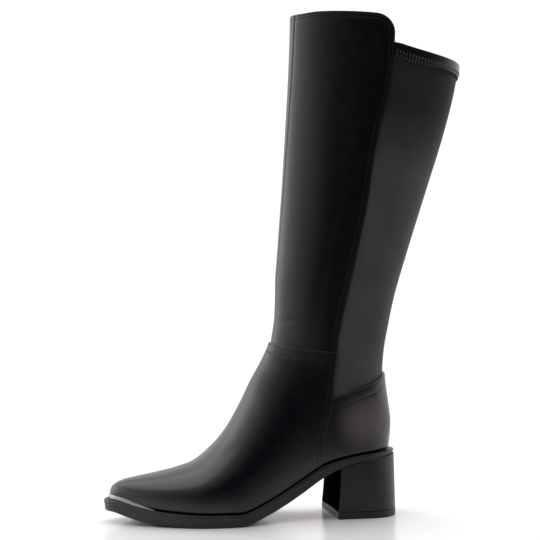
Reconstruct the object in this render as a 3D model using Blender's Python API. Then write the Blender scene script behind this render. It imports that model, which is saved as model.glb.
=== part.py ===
"""Knee-high boot for the left foot, with a pointed toe, a block heel, a leather front and a stretch back.

The toe points along -X, the heel along +X, the outer (lateral) side of the foot is at -Y and +Z is up.
The upper, the shaft and the insole are all cut from one form, the last with its leg, which a fan of sections
makes. Each section runs from a low point on the feather line or the back line up to a point on the ridge of
the vamp or the front line of the shaft.
"""
import bpy
import bmesh
import math
import numpy as np

# Driving sizes, in metres
MM = 0.001
SOLE_LENGTH = 265.5 * MM         # length that the tables share out; the outsole is 3 mm shorter
BALL_WIDTH = 81.0 * MM           # feather line at the ball
LEG_WIDTH = 79.0 * MM            # shaft, side to side at the top
SEAT_HEIGHT = 59.2 * MM          # floor to the top of the sole at the heel
ANKLE_RISE = 105.8 * MM          # heel seat to the bend of the ankle
BOOT_HEIGHT = 462.5 * MM         # floor to the top of the collar in front
CALF_SWING = 83.0 * MM           # how far the calf reaches behind the heel
SOLE_THICK = 10.8 * MM           # outsole under the ball
TOE_SPRING = 9.4 * MM            # lift of the toe tip
LEDGE = 3.4 * MM                 # sole beyond the last at the side
GAP = 0.3 * MM                   # clearance between pieces that meet

# Walls and laps, as distances from the form, which is the outer face of the shaft's leather
LEATHER_WALL = 2.0 * MM
STRETCH_DROP = 1.0 * MM          # stretch cloth lies this far below the leather
STRETCH_WALL = 1.7 * MM
HEM_PROUD = 0.7 * MM             # hem band above the leather
HEM_HEIGHT = 11.5 * MM
VAMP_LAP = 1.9 * MM              # vamp above the shaft, and over the counter at the side seam
COUNTER_LAP = 1.2 * MM           # counter above the shaft
FOOT_INSIDE = 0.9 * MM           # inner face of the upper, below the form
LAP_DEPTH = 8.0 * MM             # how far the shaft reaches down inside the upper
LAP_ROOM = 3.0 * MM              # room in the upper behind the shaft's side edge
SEAM_LEAN = 10.0 * MM            # front seam off the centre line, just above the collar
SEAM_FROM = 0.8                  # where it starts to lean, as a share of the ankle's height
SEAM_TO = 1.1                    # where it is off by the full lean, as a share of the boot's height
COLLAR_RADIUS = 18.0 * MM        # rounded back corner of the leather at the collar

# Heel, wear layer, insole and toe plate
HEEL_WIDTH = 59.4 * MM
HEEL_LENGTH = 57.0 * MM          # along the top, breast to back
HEEL_FLARE = 3.6 * MM            # breast leans this far forward at the floor
HEEL_HOLLOW = 1.2 * MM           # breast curves in by this much
HEEL_TAPER = 0.9 * MM            # each side comes in by this much at the floor
HEEL_BACK = 0.0105               # heel's back at the seat, as a share of the sole's length
HEEL_BACK_LEAN = 1.0 * MM        # heel's back reaches this much further at the floor
HEEL_SQUARE = 2.15               # squareness of the heel's back in plan
FLARE_POWER = 1.6                # how late the breast's flare comes
BREAST_ROUND = 0.6 * MM          # breast corners come in by this much
BOW_POINTS = 17                  # points round the heel's back
BREAST_POINTS = 7                # points across the breast
HEEL_LEVELS = 7                  # plan outlines, one over another
TOP_PIECE = 6.0 * MM
WEAR_EDGE = 0.5 * MM             # rounded edge of the wear layer on the floor
INSOLE_THICK = 3.0 * MM
PLATE_THICK = 1.2 * MM
PLATE_REACH = 36.0 * MM          # toe plate, from the tip back along each side
PLATE_MARGIN = 0.8 * MM          # ledge that shows outside the plate
PLATE_TIP = 0.4 * MM             # width that the plate's ends run out to

ANKLE_HEIGHT = SEAT_HEIGHT + ANKLE_RISE
SKIRT = 14.0 * MM                # form below the feather line, cut away later
STEPS = 2                        # sections made between two rows of a table
LOW_STEPS = 4                    # points from the low point to the widest point
HIGH_STEPS = 5                   # points from the widest point to the ridge
FAR = SOLE_LENGTH                # beyond the boot on every side, for cutters
HIGH = 2 * BOOT_HEIGHT           # above the boot, for cutters
PAST_ENDS = 30.0 * MM            # side-view lines are carried on this far past toe and heel
PAST_EDGE = 20.0 * MM            # how far a cutter passes beyond a corner that it makes
NEAR = 1.0 * MM                  # a line's points this close to another line's end are left out
WELD = 0.02 * MM                 # points closer than this become one
SLIVER = 0.01 * MM               # edges shorter than this are dissolved
BODY_ANGLE = 32.0                # edges sharper than this many degrees stay sharp
SOLE_ANGLE = 24.0
CORNER_POINTS = 7                # points round the collar's back corner

# Foot sections, toe tip to heel back. low, top: places along the sole, from its back, as shares of its length.
# arch, spring: rise of the feather line as shares of the seat's rise and the toe spring. ridge: height of the
# ridge as a share of the ankle's height. axis, lean: middle of the section at the sole and at the ridge, as
# shares of the ball width (+ is the inner side). sole, wide: half widths as shares of the ball width.
# full: where up the section it is widest. crown: squareness over the top. thick: outsole as a share of its
# thickness at the ball. ledge: as a share of the side ledge.
FOOT_COLUMNS = ("low", "top", "arch", "spring", "ridge", "axis", "lean", "sole", "wide",
                "full", "crown", "thick", "ledge")
FOOT_ROWS = (
    (0.9725, 0.9732, 0.000, 1.000, 0.1570, 0.060, 0.060, 0.000, 0.000, 0.40, 2.30, 0.90, 2.05),
    (0.9691, 0.9695, 0.000, 1.000, 0.1730, 0.060, 0.060, 0.062, 0.064, 0.40, 2.30, 0.92, 1.95),
    (0.9589, 0.9597, 0.000, 0.980, 0.1880, 0.060, 0.060, 0.115, 0.120, 0.40, 2.30, 0.96, 1.70),
    (0.9341, 0.9341, 0.000, 0.870, 0.2055, 0.058, 0.060, 0.185, 0.195, 0.40, 2.30, 1.05, 1.35),
    (0.8927, 0.8927, 0.000, 0.600, 0.2185, 0.053, 0.060, 0.269, 0.284, 0.39, 2.25, 1.10, 1.10),
    (0.8324, 0.8324, 0.000, 0.310, 0.2355, 0.043, 0.058, 0.364, 0.383, 0.38, 2.20, 1.09, 1.00),
    (0.7608, 0.7608, 0.000, 0.120, 0.2610, 0.026, 0.054, 0.444, 0.466, 0.37, 2.10, 1.03, 1.00),
    (0.6930, 0.6968, 0.000, 0.020, 0.2985, 0.007, 0.049, 0.490, 0.513, 0.36, 2.05, 1.03, 1.00),
    (0.6252, 0.6450, 0.000, 0.000, 0.3670, -0.010, 0.042, 0.496, 0.522, 0.36, 2.00, 1.03, 1.00),
    (0.5574, 0.6020, 0.005, 0.000, 0.4450, -0.025, 0.034, 0.467, 0.498, 0.36, 1.95, 1.03, 0.97),
    (0.4896, 0.5645, 0.145, 0.000, 0.5420, -0.030, 0.027, 0.414, 0.459, 0.37, 1.92, 1.06, 0.90),
    (0.4218, 0.5350, 0.325, 0.000, 0.6320, -0.025, 0.020, 0.363, 0.430, 0.38, 1.92, 1.12, 0.85),
    (0.3540, 0.5098, 0.535, 0.000, 0.7200, -0.015, 0.012, 0.333, 0.412, 0.39, 1.93, 1.12, 0.85),
    (0.2862, 0.4878, 0.748, 0.000, 0.7855, -0.006, 0.007, 0.328, 0.402, 0.40, 1.95, 1.00, 0.92),
    (0.2184, 0.4702, 0.862, 0.000, 0.8365, 0.000, 0.004, 0.334, 0.397, 0.41, 1.97, 0.68, 1.00),
    (0.1540, 0.4568, 0.932, 0.000, 0.8820, 0.000, 0.001, 0.339, 0.395, 0.42, 2.00, 0.57, 1.05),
    (0.1035, 0.4472, 0.968, 0.000, 0.9165, 0.000, 0.000, 0.341, 0.395, 0.43, 2.00, 0.51, 1.20),
    (0.0645, 0.4412, 0.986, 0.000, 0.9485, 0.000, 0.000, 0.342, 0.395, 0.44, 2.00, 0.47, 1.45),
    (0.0422, 0.4390, 0.997, 0.000, 0.9755, 0.000, 0.000, 0.342, 0.396, 0.45, 2.00, 0.42, 1.66),
    (0.0334, 0.4366, 1.000, 0.000, 0.9970, 0.000, 0.000, 0.342, 0.397, 0.45, 2.00, 0.40, 1.84),
)

# Leg sections, heel back to above the collar. low, top: places along the sole's length. swing: share of the
# calf's swing behind that place. back, front: heights, where 1 is the bend of the ankle and 2 is the collar.
# foot, wide: half widths at the low end and where widest, as shares of the leg width. round: how far the
# back's rounding reaches forward, as a share of the leg width.
LEG_COLUMNS = ("low", "swing", "top", "back", "front", "foot", "wide", "full", "crown", "round")
HEEL_ROUND = 0.365
LEG_ROWS = (
    (0.0288, 0.000, 0.4338, 0.4150, 1.0130, 0.356, 0.408, 0.45, 2.00, 0.370),
    (0.0250, 0.000, 0.4305, 0.5090, 1.0320, 0.368, 0.413, 0.46, 2.00, 0.390),
    (0.0345, 0.000, 0.4282, 0.6420, 1.0600, 0.388, 0.418, 0.46, 2.00, 0.430),
    (0.0434, 0.000, 0.4267, 0.7580, 1.0900, 0.405, 0.421, 0.46, 2.00, 0.480),
    (0.0398, 0.000, 0.4260, 0.8670, 1.1240, 0.418, 0.426, 0.46, 2.00, 0.530),
    (0.0366, 0.036, 0.4252, 1.0000, 1.1650, 0.433, 0.433, 0.46, 2.00, 0.580),
    (0.0360, 0.125, 0.4210, 1.1110, 1.2180, 0.446, 0.446, 0.46, 2.00, 0.630),
    (0.0355, 0.283, 0.4140, 1.2520, 1.3020, 0.462, 0.462, 0.45, 2.00, 0.700),
    (0.0315, 0.515, 0.4005, 1.4540, 1.4700, 0.478, 0.478, 0.45, 2.00, 0.790),
    (0.0265, 0.703, 0.3898, 1.6220, 1.6280, 0.490, 0.490, 0.44, 2.00, 0.860),
    (0.0262, 0.870, 0.3795, 1.7900, 1.7900, 0.498, 0.498, 0.44, 2.00, 0.910),
    (0.0345, 0.950, 0.3748, 1.8910, 1.8910, 0.500, 0.500, 0.43, 2.00, 0.930),
    (0.0370, 0.985, 0.3700, 2.0400, 2.0400, 0.500, 0.500, 0.43, 2.00, 0.940),
)
ROUND_POWER = 2.12               # squareness of the heel's and the calf's back in plan

# Lines of the panels in side view. along: place along the sole's length from its back; reach: share of the
# calf's swing behind it; up: height, where 1 is the bend of the ankle and 2 is the collar.
LINE_COLUMNS = ("along", "reach", "up")
SIDE_SEAM = (
    (0.0310, 0.000, 1.9200),
    (0.0365, 0.000, 1.8480),
    (0.0460, 0.000, 1.7820),
    (0.0540, 0.000, 1.7340),
    (0.0800, 0.000, 1.6530),
    (0.1110, 0.000, 1.5260),
    (0.1320, 0.000, 1.4010),
    (0.1610, 0.000, 1.2770),
    (0.1910, 0.000, 1.1560),
    (0.2220, 0.000, 1.0360),
    (0.2350, 0.000, 0.9570),
    (0.2430, 0.000, 0.8500),
    (0.2520, 0.000, 0.7420),
    (0.2560, 0.000, 0.6480),
    (0.2640, 0.000, 0.5570),
    (0.2810, 0.000, 0.4780),
    (0.2890, 0.000, 0.3700),
    (0.2910, 0.000, 0.2850),
)
VAMP_TOP = (
    (0.4500, 0.000, 0.9570),
    (0.4420, 0.000, 0.9450),
    (0.4280, 0.000, 0.9290),
    (0.3990, 0.000, 0.9170),
    (0.3680, 0.000, 0.9090),
    (0.3010, 0.000, 0.8980),
    (0.2420, 0.000, 0.8900),
)
COUNTER_TOP = (
    (0.2540, 0.000, 0.6440),
    (0.2320, 0.000, 0.6545),
    (0.1960, 0.000, 0.6745),
    (0.1585, 0.000, 0.6975),
    (0.1170, 0.000, 0.7225),
    (0.0670, 0.000, 0.7600),
    (0.0340, 0.000, 0.7900),
    (-0.0200, 0.000, 0.8400),
)
COLLAR = (
    (0.4400, 0.000, 2.0110),
    (0.3780, 0.000, 2.0050),
    (0.3560, 0.000, 1.9980),
    (0.2980, 0.000, 1.9960),
    (0.2340, 0.000, 1.9935),
    (0.1630, 0.000, 1.9910),
    (0.0800, 0.000, 1.9870),
)
HEM_TOP = (
    (0.0350, 0.000, 1.8990),
    (-0.0300, 0.000, 1.8850),
    (-0.1130, 0.000, 1.8735),
    (-0.2080, 0.000, 1.8670),
    (-0.3200, 0.000, 1.8660),
)


def table(columns, rows):
    """One array for each named column."""
    return {name: np.array([row[place] for row in rows]) for place, name in enumerate(columns)}


def along(share):
    """X of a place given as a share of the sole's length, counted from its back."""
    return -share * SOLE_LENGTH


def height(share):
    """Z of a height: 0 floor, 1 bend of the ankle, 2 top of the collar."""
    leg = BOOT_HEIGHT - ANKLE_HEIGHT
    return np.where(share <= 1.0, share * ANKLE_HEIGHT, ANKLE_HEIGHT + (share - 1.0) * leg)


def curve(knots, values, at):
    """Smooth curve through the values, with slopes read from each value's neighbours."""
    slopes = np.gradient(values, knots)
    start = np.clip(np.searchsorted(knots, at, side="right") - 1, 0, len(knots) - 2)
    span = knots[start + 1] - knots[start]
    u = (at - knots[start]) / span
    low = (1 + 2 * u) * (1 - u) ** 2 * values[start] + u * (1 - u) ** 2 * span * slopes[start]
    high = u * u * (3 - 2 * u) * values[start + 1] + u * u * (u - 1) * span * slopes[start + 1]
    return low + high


def line_points(rows):
    """X and Z of a panel line."""
    line = table(LINE_COLUMNS, rows)
    x = along(line["along"]) + line["reach"] * CALF_SWING
    return np.stack([x, height(line["up"])], axis=1)


def line_drawn(rows, steps=3):
    """The same line with smooth points between its rows."""
    points = line_points(rows)
    chord = np.concatenate([[0.0], np.cumsum(np.linalg.norm(np.diff(points, axis=0), axis=1))])
    count = (len(rows) - 1) * steps + 1
    at = np.interp(np.linspace(0, len(rows) - 1, count), np.arange(len(rows)), chord)
    return np.stack([curve(chord, points[:, 0], at), curve(chord, points[:, 1], at)], axis=1)


def stations(steps=STEPS):
    """All sections, from the toe tip over the heel to the collar, with smooth ones between the rows."""
    foot = table(FOOT_COLUMNS, FOOT_ROWS)
    leg = table(LEG_COLUMNS, LEG_ROWS)
    count = len(FOOT_ROWS)
    seat_rise = SEAT_HEIGHT - SOLE_THICK
    foot_low_z = SOLE_THICK + foot["arch"] * seat_rise + foot["spring"] * TOE_SPRING
    low_x = np.concatenate([along(foot["low"]), along(leg["low"]) + leg["swing"] * CALF_SWING])
    low_z = np.concatenate([foot_low_z, height(leg["back"])])
    top_x = np.concatenate([along(foot["top"]), along(leg["top"])])
    top_z = np.concatenate([height(foot["ridge"]), height(leg["front"])])
    nothing = np.zeros(len(LEG_ROWS))
    columns = {
        "top_x": top_x,
        "top_z": top_z,
        "axis": np.concatenate([foot["axis"] * BALL_WIDTH, nothing]),
        "lean": np.concatenate([foot["lean"] * BALL_WIDTH, nothing]),
        "wide": np.concatenate([foot["wide"] * BALL_WIDTH, leg["wide"] * LEG_WIDTH]),
        "full": np.concatenate([foot["full"], leg["full"]]),
        "crown": np.concatenate([foot["crown"], leg["crown"]]),
        "sole": np.concatenate([foot["sole"] * BALL_WIDTH, leg["foot"] * LEG_WIDTH]),
        "round": np.concatenate([np.full(count, HEEL_ROUND), leg["round"]]) * LEG_WIDTH,
    }
    moved = np.hypot(np.diff(low_x), np.diff(low_z)) + np.hypot(np.diff(top_x), np.diff(top_z))
    knots = np.concatenate([[0.0], np.cumsum(np.sqrt(moved))])
    rows = len(knots)
    at = np.interp(np.linspace(0, rows - 1, (rows - 1) * steps + 1), np.arange(rows), knots)
    made = {name: curve(knots, values, at) for name, values in columns.items()}
    corner = count - 1
    in_foot = at <= knots[corner] + 1e-9
    for name, values in (("low_x", low_x), ("low_z", low_z)):
        before = curve(knots[:count], values[:count], at)
        after = curve(knots[corner:], values[corner:], at)
        made[name] = np.where(in_foot, before, after)
    for name, scale in (("thick", SOLE_THICK), ("ledge", LEDGE)):
        inside = curve(knots[:count], foot[name] * scale, np.minimum(at, knots[corner]))
        made[name] = np.where(in_foot, inside, 0.0)
    made["foot_count"] = corner * steps + 1
    return made


def section_grid(made, low_steps=LOW_STEPS, high_steps=HIGH_STEPS):
    """Points of every section, outer side first, from the low point over the ridge and down the inner side."""
    low_turn = np.linspace(0, math.pi / 2, low_steps + 1)[:-1]
    high_turn = np.linspace(0, math.pi / 2, high_steps + 1)
    full = made["full"][:, None]
    below = full * (1 - np.cos(low_turn))[None, :]
    above = full + (1 - full) * np.sin(high_turn)[None, :]
    sole = made["sole"][:, None]
    wide = np.maximum(made["wide"], made["sole"])[:, None]
    drop = 1 - (1 - below / full) ** 2
    low_half = sole + (wide - sole) * drop
    crown = made["crown"][:, None]
    rest = 1 - ((above - full) / (1 - full)) ** crown
    high_half = wide * np.clip(rest, 0, 1) ** (1 / crown)
    share = np.concatenate([below, above], axis=1)
    half = np.concatenate([low_half, high_half], axis=1)
    half[:, -1] = 0.0
    x = made["low_x"][:, None] + share * (made["top_x"] - made["low_x"])[:, None]
    z = made["low_z"][:, None] + share * (made["top_z"] - made["low_z"])[:, None]
    back = made["foot_count"] - 1
    back_x = np.interp(z, made["low_z"][back:], made["low_x"][back:])
    reach = np.interp(z, made["low_z"][back:], made["round"][back:])
    into = np.clip((back_x - x) / reach, 0.0, 1.0)
    half = half * (1 - (1 - into) ** ROUND_POWER) ** (1 / ROUND_POWER)
    middle = made["axis"][:, None] + share * (made["lean"] - made["axis"])[:, None]
    outer = np.stack([x, middle - half, z], axis=2)
    inner = np.stack([x, middle + half, z], axis=2)
    return np.concatenate([outer, inner[:, -2::-1]], axis=1)


def shared_numbers(grid, foot_count):
    """A vertex number for each grid point. The tip, the heel's back and the leg's back line are shared."""
    rows, ring = grid.shape[:2]
    numbers = np.arange(rows * ring).reshape(rows, ring)
    numbers[0, ring // 2 + 1:] = numbers[0, :ring // 2][::-1]
    numbers[foot_count - 1:, -1] = numbers[foot_count - 1:, 0]
    return numbers


def grown(grid, numbers, offset):
    """The grid moved out along its own normals."""
    rows, ring = grid.shape[:2]
    flat = grid.reshape(-1, 3)
    normals = np.zeros_like(flat)
    a, b = numbers[:-1, :-1], numbers[:-1, 1:]
    c, d = numbers[1:, 1:], numbers[1:, :-1]
    across = np.cross(flat[c] - flat[a], flat[d] - flat[b])
    for corner in (a, b, c, d):
        np.add.at(normals, corner.ravel(), across.reshape(-1, 3))
    used = normals[numbers.ravel()]
    used = used / np.maximum(np.linalg.norm(used, axis=1), 1e-12)[:, None]
    widest = numbers[rows // 2, LOW_STEPS]
    if normals[widest, 1] > 0:
        used = -used
    points = flat[numbers.ravel()] + used * offset
    return points.reshape(rows, ring, 3)


def material(name, colour, roughness, metallic=0.0):
    """A plain Principled material."""
    made = bpy.data.materials.get(name) or bpy.data.materials.new(name)
    made.use_nodes = True
    shader = made.node_tree.nodes["Principled BSDF"]
    shader.inputs["Base Color"].default_value = (*colour, 1.0)
    shader.inputs["Roughness"].default_value = roughness
    shader.inputs["Metallic"].default_value = metallic
    return made


def add_object(name, points, faces):
    """A mesh object with its faces pointing out."""
    mesh = bpy.data.meshes.new(name)
    mesh.from_pydata([tuple(point) for point in points], [], [tuple(face) for face in faces])
    work = bmesh.new()
    work.from_mesh(mesh)
    bmesh.ops.delete(work, geom=[v for v in work.verts if not v.link_faces], context="VERTS")
    bmesh.ops.recalc_face_normals(work, faces=work.faces)
    work.to_mesh(mesh)
    work.free()
    made = bpy.data.objects.new(name, mesh)
    bpy.context.collection.objects.link(made)
    return made


def closed_face(numbers):
    """The face without a vertex that comes twice in a row."""
    kept = [n for place, n in enumerate(numbers) if n != numbers[place - 1]]
    return kept if len(kept) > 2 else None


def form(name, offset, skirt=SKIRT):
    """The last and leg as one closed solid, grown or shrunk by the offset, with a skirt under the feather line."""
    made = stations()
    grid = section_grid(made)
    foot_count = made["foot_count"]
    numbers = shared_numbers(grid, foot_count)
    rows, ring = numbers.shape
    points = grown(grid, numbers, offset).reshape(-1, 3).copy()
    faces = []
    for row in range(rows - 1):
        for place in range(ring - 1):
            faces.append([numbers[row, place], numbers[row, place + 1],
                          numbers[row + 1, place + 1], numbers[row + 1, place]])
    rim = points[numbers[:foot_count][:, [0, -1]].ravel()].copy()
    rim[:, 2] -= skirt
    first = len(points)
    points = np.concatenate([points, rim])
    under = first + np.arange(foot_count * 2).reshape(foot_count, 2)
    under[0, 1] = under[0, 0]
    under[-1, 1] = under[-1, 0]
    for row in range(foot_count - 1):
        for side, place in ((0, 0), (1, ring - 1)):
            faces.append([numbers[row, place], numbers[row + 1, place], under[row + 1, side], under[row, side]])
        faces.append([under[row, 0], under[row, 1], under[row + 1, 1], under[row + 1, 0]])
    last = numbers[-1]
    for place in range(ring // 2):
        faces.append([last[place], last[place + 1], last[ring - 2 - place], last[ring - 1 - place]])
    faces = [closed_face(face) for face in faces]
    return add_object(name, points, [face for face in faces if face])


def prism(name, outline, half=FAR):
    """A closed side-view outline of X and Z, run across the boot."""
    count = len(outline)
    near = [(x, -half, z) for x, z in outline]
    away = [(x, half, z) for x, z in outline]
    faces = [list(range(count)), list(range(2 * count - 1, count - 1, -1))]
    for place in range(count):
        following = (place + 1) % count
        faces.append([place, place + count, following + count, following])
    return add_object(name, near + away, faces)


def boolean(piece, operation, other):
    """Applies a Boolean and leaves the other object as it is."""
    cut = piece.modifiers.new(operation, "BOOLEAN")
    cut.operation = operation
    cut.solver = "EXACT"
    cut.object = other
    graph = bpy.context.evaluated_depsgraph_get()
    mesh = bpy.data.meshes.new_from_object(piece.evaluated_get(graph))
    old = piece.data
    piece.modifiers.clear()
    piece.data = mesh
    mesh.name = piece.name
    bpy.data.meshes.remove(old)


def remove(*pieces):
    """Deletes helpers that are no longer needed."""
    for piece in pieces:
        bpy.data.objects.remove(piece)


def finished(piece, finish, smooth=BODY_ANGLE):
    """Gives a solid its one material and smooth shading, and cleans what the cuts leave."""
    piece.data.materials.clear()
    piece.data.materials.append(finish)
    work = bmesh.new()
    work.from_mesh(piece.data)
    bmesh.ops.remove_doubles(work, verts=work.verts, dist=WELD)
    bmesh.ops.dissolve_degenerate(work, edges=work.edges, dist=SLIVER)
    bmesh.ops.triangulate(work, faces=[f for f in work.faces if len(f.verts) > 4])
    for face in work.faces:
        face.material_index = 0
        face.smooth = True
    work.to_mesh(piece.data)
    work.free()
    piece.data.set_sharp_from_angle(angle=math.radians(smooth))
    return piece


def shifted(line, x=0.0, z=0.0):
    """A side-view line moved by x and z."""
    return line + np.array([x, z])


def widened(line, distance):
    """A side-view line moved to its left by a distance."""
    direction = np.gradient(line, axis=0)
    direction /= np.linalg.norm(direction, axis=1)[:, None]
    return line + np.stack([-direction[:, 1], direction[:, 0]], axis=1) * distance


def bed_line():
    """The feather line in side view, toe to heel, carried on past both ends."""
    made = stations()
    count = made["foot_count"]
    line = np.stack([made["low_x"][:count], made["low_z"][:count]], axis=1)
    ahead = line[0] - np.array([PAST_ENDS, 0.0])
    behind = line[-1] + np.array([PAST_ENDS, 0.0])
    return np.concatenate([[ahead], line, [behind]])


def bed_height(x):
    """Height of the feather line at x."""
    line = bed_line()
    return np.interp(x, line[:, 0], line[:, 1])


def tread_height(x):
    """Height of the outsole's underside at x."""
    made = stations()
    count = made["foot_count"]
    thick = np.interp(x, made["low_x"][:count], made["thick"][:count])
    return np.maximum(bed_height(x) - thick, 0.0)


def below_bed(name):
    """Everything under the feather line."""
    line = bed_line()
    return prism(name, [*line, (line[-1, 0], -FAR), (line[0, 0], -FAR)])


def foot_boundary():
    """Top edge of the upper in side view: over the vamp, down the side seam and over the counter."""
    vamp = line_drawn(VAMP_TOP)
    seam = line_drawn(SIDE_SEAM)
    counter = line_drawn(COUNTER_TOP)
    between = seam[(seam[:, 1] < vamp[-1, 1]) & (seam[:, 1] > counter[0, 1])]
    front = vamp[vamp[:, 0] < between[0, 0] - NEAR]
    back = counter[counter[:, 0] > between[-1, 0] + NEAR]
    return front, between, back


def region(name, line, closing):
    """A prism between a line and its closing corners."""
    return prism(name, [*line, *closing])


def build_upper(leather):
    """Vamp and counter: one hollow shell, open above and below, whose edges lap over the shaft."""
    front, between, back = foot_boundary()
    edge = np.concatenate([front, between, back])
    upper = form("upper", COUNTER_LAP)
    vamp = form("vamp_form", VAMP_LAP)
    seam = line_drawn(SIDE_SEAM)
    low_seam = seam[seam[:, 1] < back[0, 1] - NEAR]
    over_corner = low_seam[0] + PAST_EDGE
    ahead = region("ahead_of_seam", [(over_corner[0], HIGH), over_corner, *low_seam],
                   [(low_seam[-1, 0], -FAR), (-FAR * 2, -FAR), (-FAR * 2, HIGH)])
    boolean(vamp, "INTERSECT", ahead)
    boolean(upper, "UNION", vamp)
    above = region("above_edge", edge, [(FAR, edge[-1, 1]), (FAR, HIGH), (-FAR * 2, HIGH), (-FAR * 2, edge[0, 1])])
    boolean(upper, "DIFFERENCE", above)
    inside = form("inside_form", -FOOT_INSIDE, skirt=SKIRT * 2)
    boolean(upper, "DIFFERENCE", inside)
    lap_front = form("lap_front", GAP)
    lap_back = form("lap_back", GAP - STRETCH_DROP)
    leather_low, stretch_low = lower_edges()
    front_room = region("front_room", shifted(leather_low, z=-GAP),
                        [(leather_low[-1, 0] + LAP_ROOM, leather_low[-1, 1] - GAP),
                         (leather_low[-1, 0] + LAP_ROOM, HIGH), (-FAR * 2, HIGH),
                         (-FAR * 2, leather_low[0, 1] - GAP)])
    boolean(lap_front, "INTERSECT", front_room)
    back_room = region("back_room", shifted(stretch_low, z=-GAP),
                       [(FAR, stretch_low[-1, 1] - GAP), (FAR, HIGH), (stretch_low[0, 0], HIGH)])
    boolean(lap_back, "INTERSECT", back_room)
    boolean(upper, "DIFFERENCE", lap_front)
    boolean(upper, "DIFFERENCE", lap_back)
    bed = below_bed("under_bed")
    boolean(upper, "DIFFERENCE", bed)
    remove(vamp, ahead, above, inside, lap_front, lap_back, front_room, back_room, bed)
    return finished(upper, leather)


def lower_edges():
    """Lower edges of the leather front and of the stretch panel, inside the upper."""
    vamp = shifted(line_drawn(VAMP_TOP), z=-LAP_DEPTH)
    counter = shifted(line_drawn(COUNTER_TOP), z=-LAP_DEPTH)
    return vamp, counter


def build_shaft(leather):
    """The two leather panels: from the collar down under the vamp, meeting at the front seam."""
    seam = line_drawn(SIDE_SEAM)
    collar = line_drawn(COLLAR)
    leather_low, stretch_low = lower_edges()
    down = seam[seam[:, 1] > leather_low[-1, 1] + NEAR]
    corner_x = down[0, 0]
    corner_z = collar[-1, 1]
    turn = np.linspace(math.pi / 2, 0, CORNER_POINTS)
    round_corner = np.stack([corner_x - COLLAR_RADIUS + COLLAR_RADIUS * np.cos(turn),
                             corner_z - COLLAR_RADIUS + COLLAR_RADIUS * np.sin(turn)], axis=1)
    down = down[down[:, 1] < corner_z - COLLAR_RADIUS - NEAR]
    ahead = collar[collar[:, 0] < corner_x - COLLAR_RADIUS - NEAR]
    low = leather_low[leather_low[:, 0] < down[-1, 0] - NEAR][::-1]
    outline = [*ahead, *round_corner, *down, (down[-1, 0], low[0, 1]), *low, (-FAR * 2, low[-1, 1]),
               (-FAR * 2, ahead[0, 1])]
    panel = prism("leather_panel", outline)
    shell = form("shaft_shell", 0.0)
    inside = form("shaft_inside", -LEATHER_WALL, skirt=SKIRT * 2)
    boolean(shell, "INTERSECT", panel)
    boolean(shell, "DIFFERENCE", inside)
    pieces = []
    for name, side in (("shaft_lateral", -1), ("shaft_medial", 1)):
        piece = bpy.data.objects.new(name, shell.data.copy())
        bpy.context.collection.objects.link(piece)
        half = seam_side("seam_side", side)
        boolean(piece, "INTERSECT", half)
        remove(half)
        pieces.append(finished(piece, leather))
    remove(panel, shell, inside)
    return pieces


def seam_side(name, side):
    """Everything on one side of the front seam, which leans out towards the collar."""
    foot_y = side * GAP / 2
    head_y = foot_y - SEAM_LEAN
    low, high = ANKLE_HEIGHT * SEAM_FROM, BOOT_HEIGHT * SEAM_TO
    corners = []
    for x in (-FAR * 2, FAR):
        corners += [(x, foot_y, low), (x, head_y, high), (x, side * FAR, high), (x, side * FAR, low)]
    faces = [(0, 1, 2, 3), (7, 6, 5, 4), (0, 4, 5, 1), (1, 5, 6, 2), (2, 6, 7, 3), (3, 7, 4, 0)]
    return add_object(name, corners, faces)


def stretch_outline(top_line):
    """Side-view outline of the stretch back under a top line."""
    seam = widened(line_drawn(SIDE_SEAM), GAP)
    leather_low, stretch_low = lower_edges()
    front = seam[(seam[:, 1] < top_line[0, 1] - NEAR) & (seam[:, 1] > stretch_low[0, 1] + NEAR)]
    low = stretch_low[stretch_low[:, 0] > front[-1, 0] + NEAR]
    tops = top_line[top_line[:, 0] > front[0, 0] + NEAR]
    return [*front, *low, (FAR, low[-1, 1]), (FAR, tops[-1, 1]), *tops[::-1]]


def build_stretch(cloth):
    """The stretch back, from side seam to side seam, and the turned hem band on it."""
    top = line_drawn(HEM_TOP)
    panel = prism("stretch_side", stretch_outline(shifted(top, z=-STRETCH_DROP)))
    stretch = form("stretch_panel", -STRETCH_DROP)
    inside = form("stretch_inside", -STRETCH_DROP - STRETCH_WALL, skirt=SKIRT * 2)
    boolean(stretch, "INTERSECT", panel)
    boolean(stretch, "DIFFERENCE", inside)
    seam = widened(line_drawn(SIDE_SEAM), GAP)
    low = shifted(top, z=-HEM_HEIGHT)
    front = seam[(seam[:, 1] < top[0, 1] - NEAR / 2) & (seam[:, 1] > low[0, 1] + NEAR / 2)]
    tops = top[top[:, 0] > front[0, 0] + NEAR]
    lows = low[low[:, 0] > front[-1, 0] + NEAR]
    band = prism("band_side", [*front, *lows, *tops[::-1]])
    hem = form("stretch_hem", HEM_PROUD)
    under = form("hem_inside", GAP - STRETCH_DROP, skirt=SKIRT * 2)
    boolean(hem, "INTERSECT", band)
    boolean(hem, "DIFFERENCE", under)
    remove(panel, inside, band, under)
    return finished(stretch, cloth), finished(hem, cloth)


def plan_outline():
    """Feather line in plan, outer side then inner side, with its outward normals and the ledge."""
    made = stations()
    count = made["foot_count"]
    grid = section_grid(made)[:count, :, :2]
    ring = np.concatenate([grid[:, 0], grid[-2:0:-1, -1]])
    following, before = np.roll(ring, -1, axis=0), np.roll(ring, 1, axis=0)
    direction = following - before
    direction /= np.linalg.norm(direction, axis=1)[:, None]
    normals = np.stack([direction[:, 1], -direction[:, 0]], axis=1)
    if normals[count // 2, 1] > 0:
        normals = -normals
    one_side = made["ledge"][:count]
    ledge = np.concatenate([one_side, one_side[-2:0:-1]])
    return ring, normals, ledge, count


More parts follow.
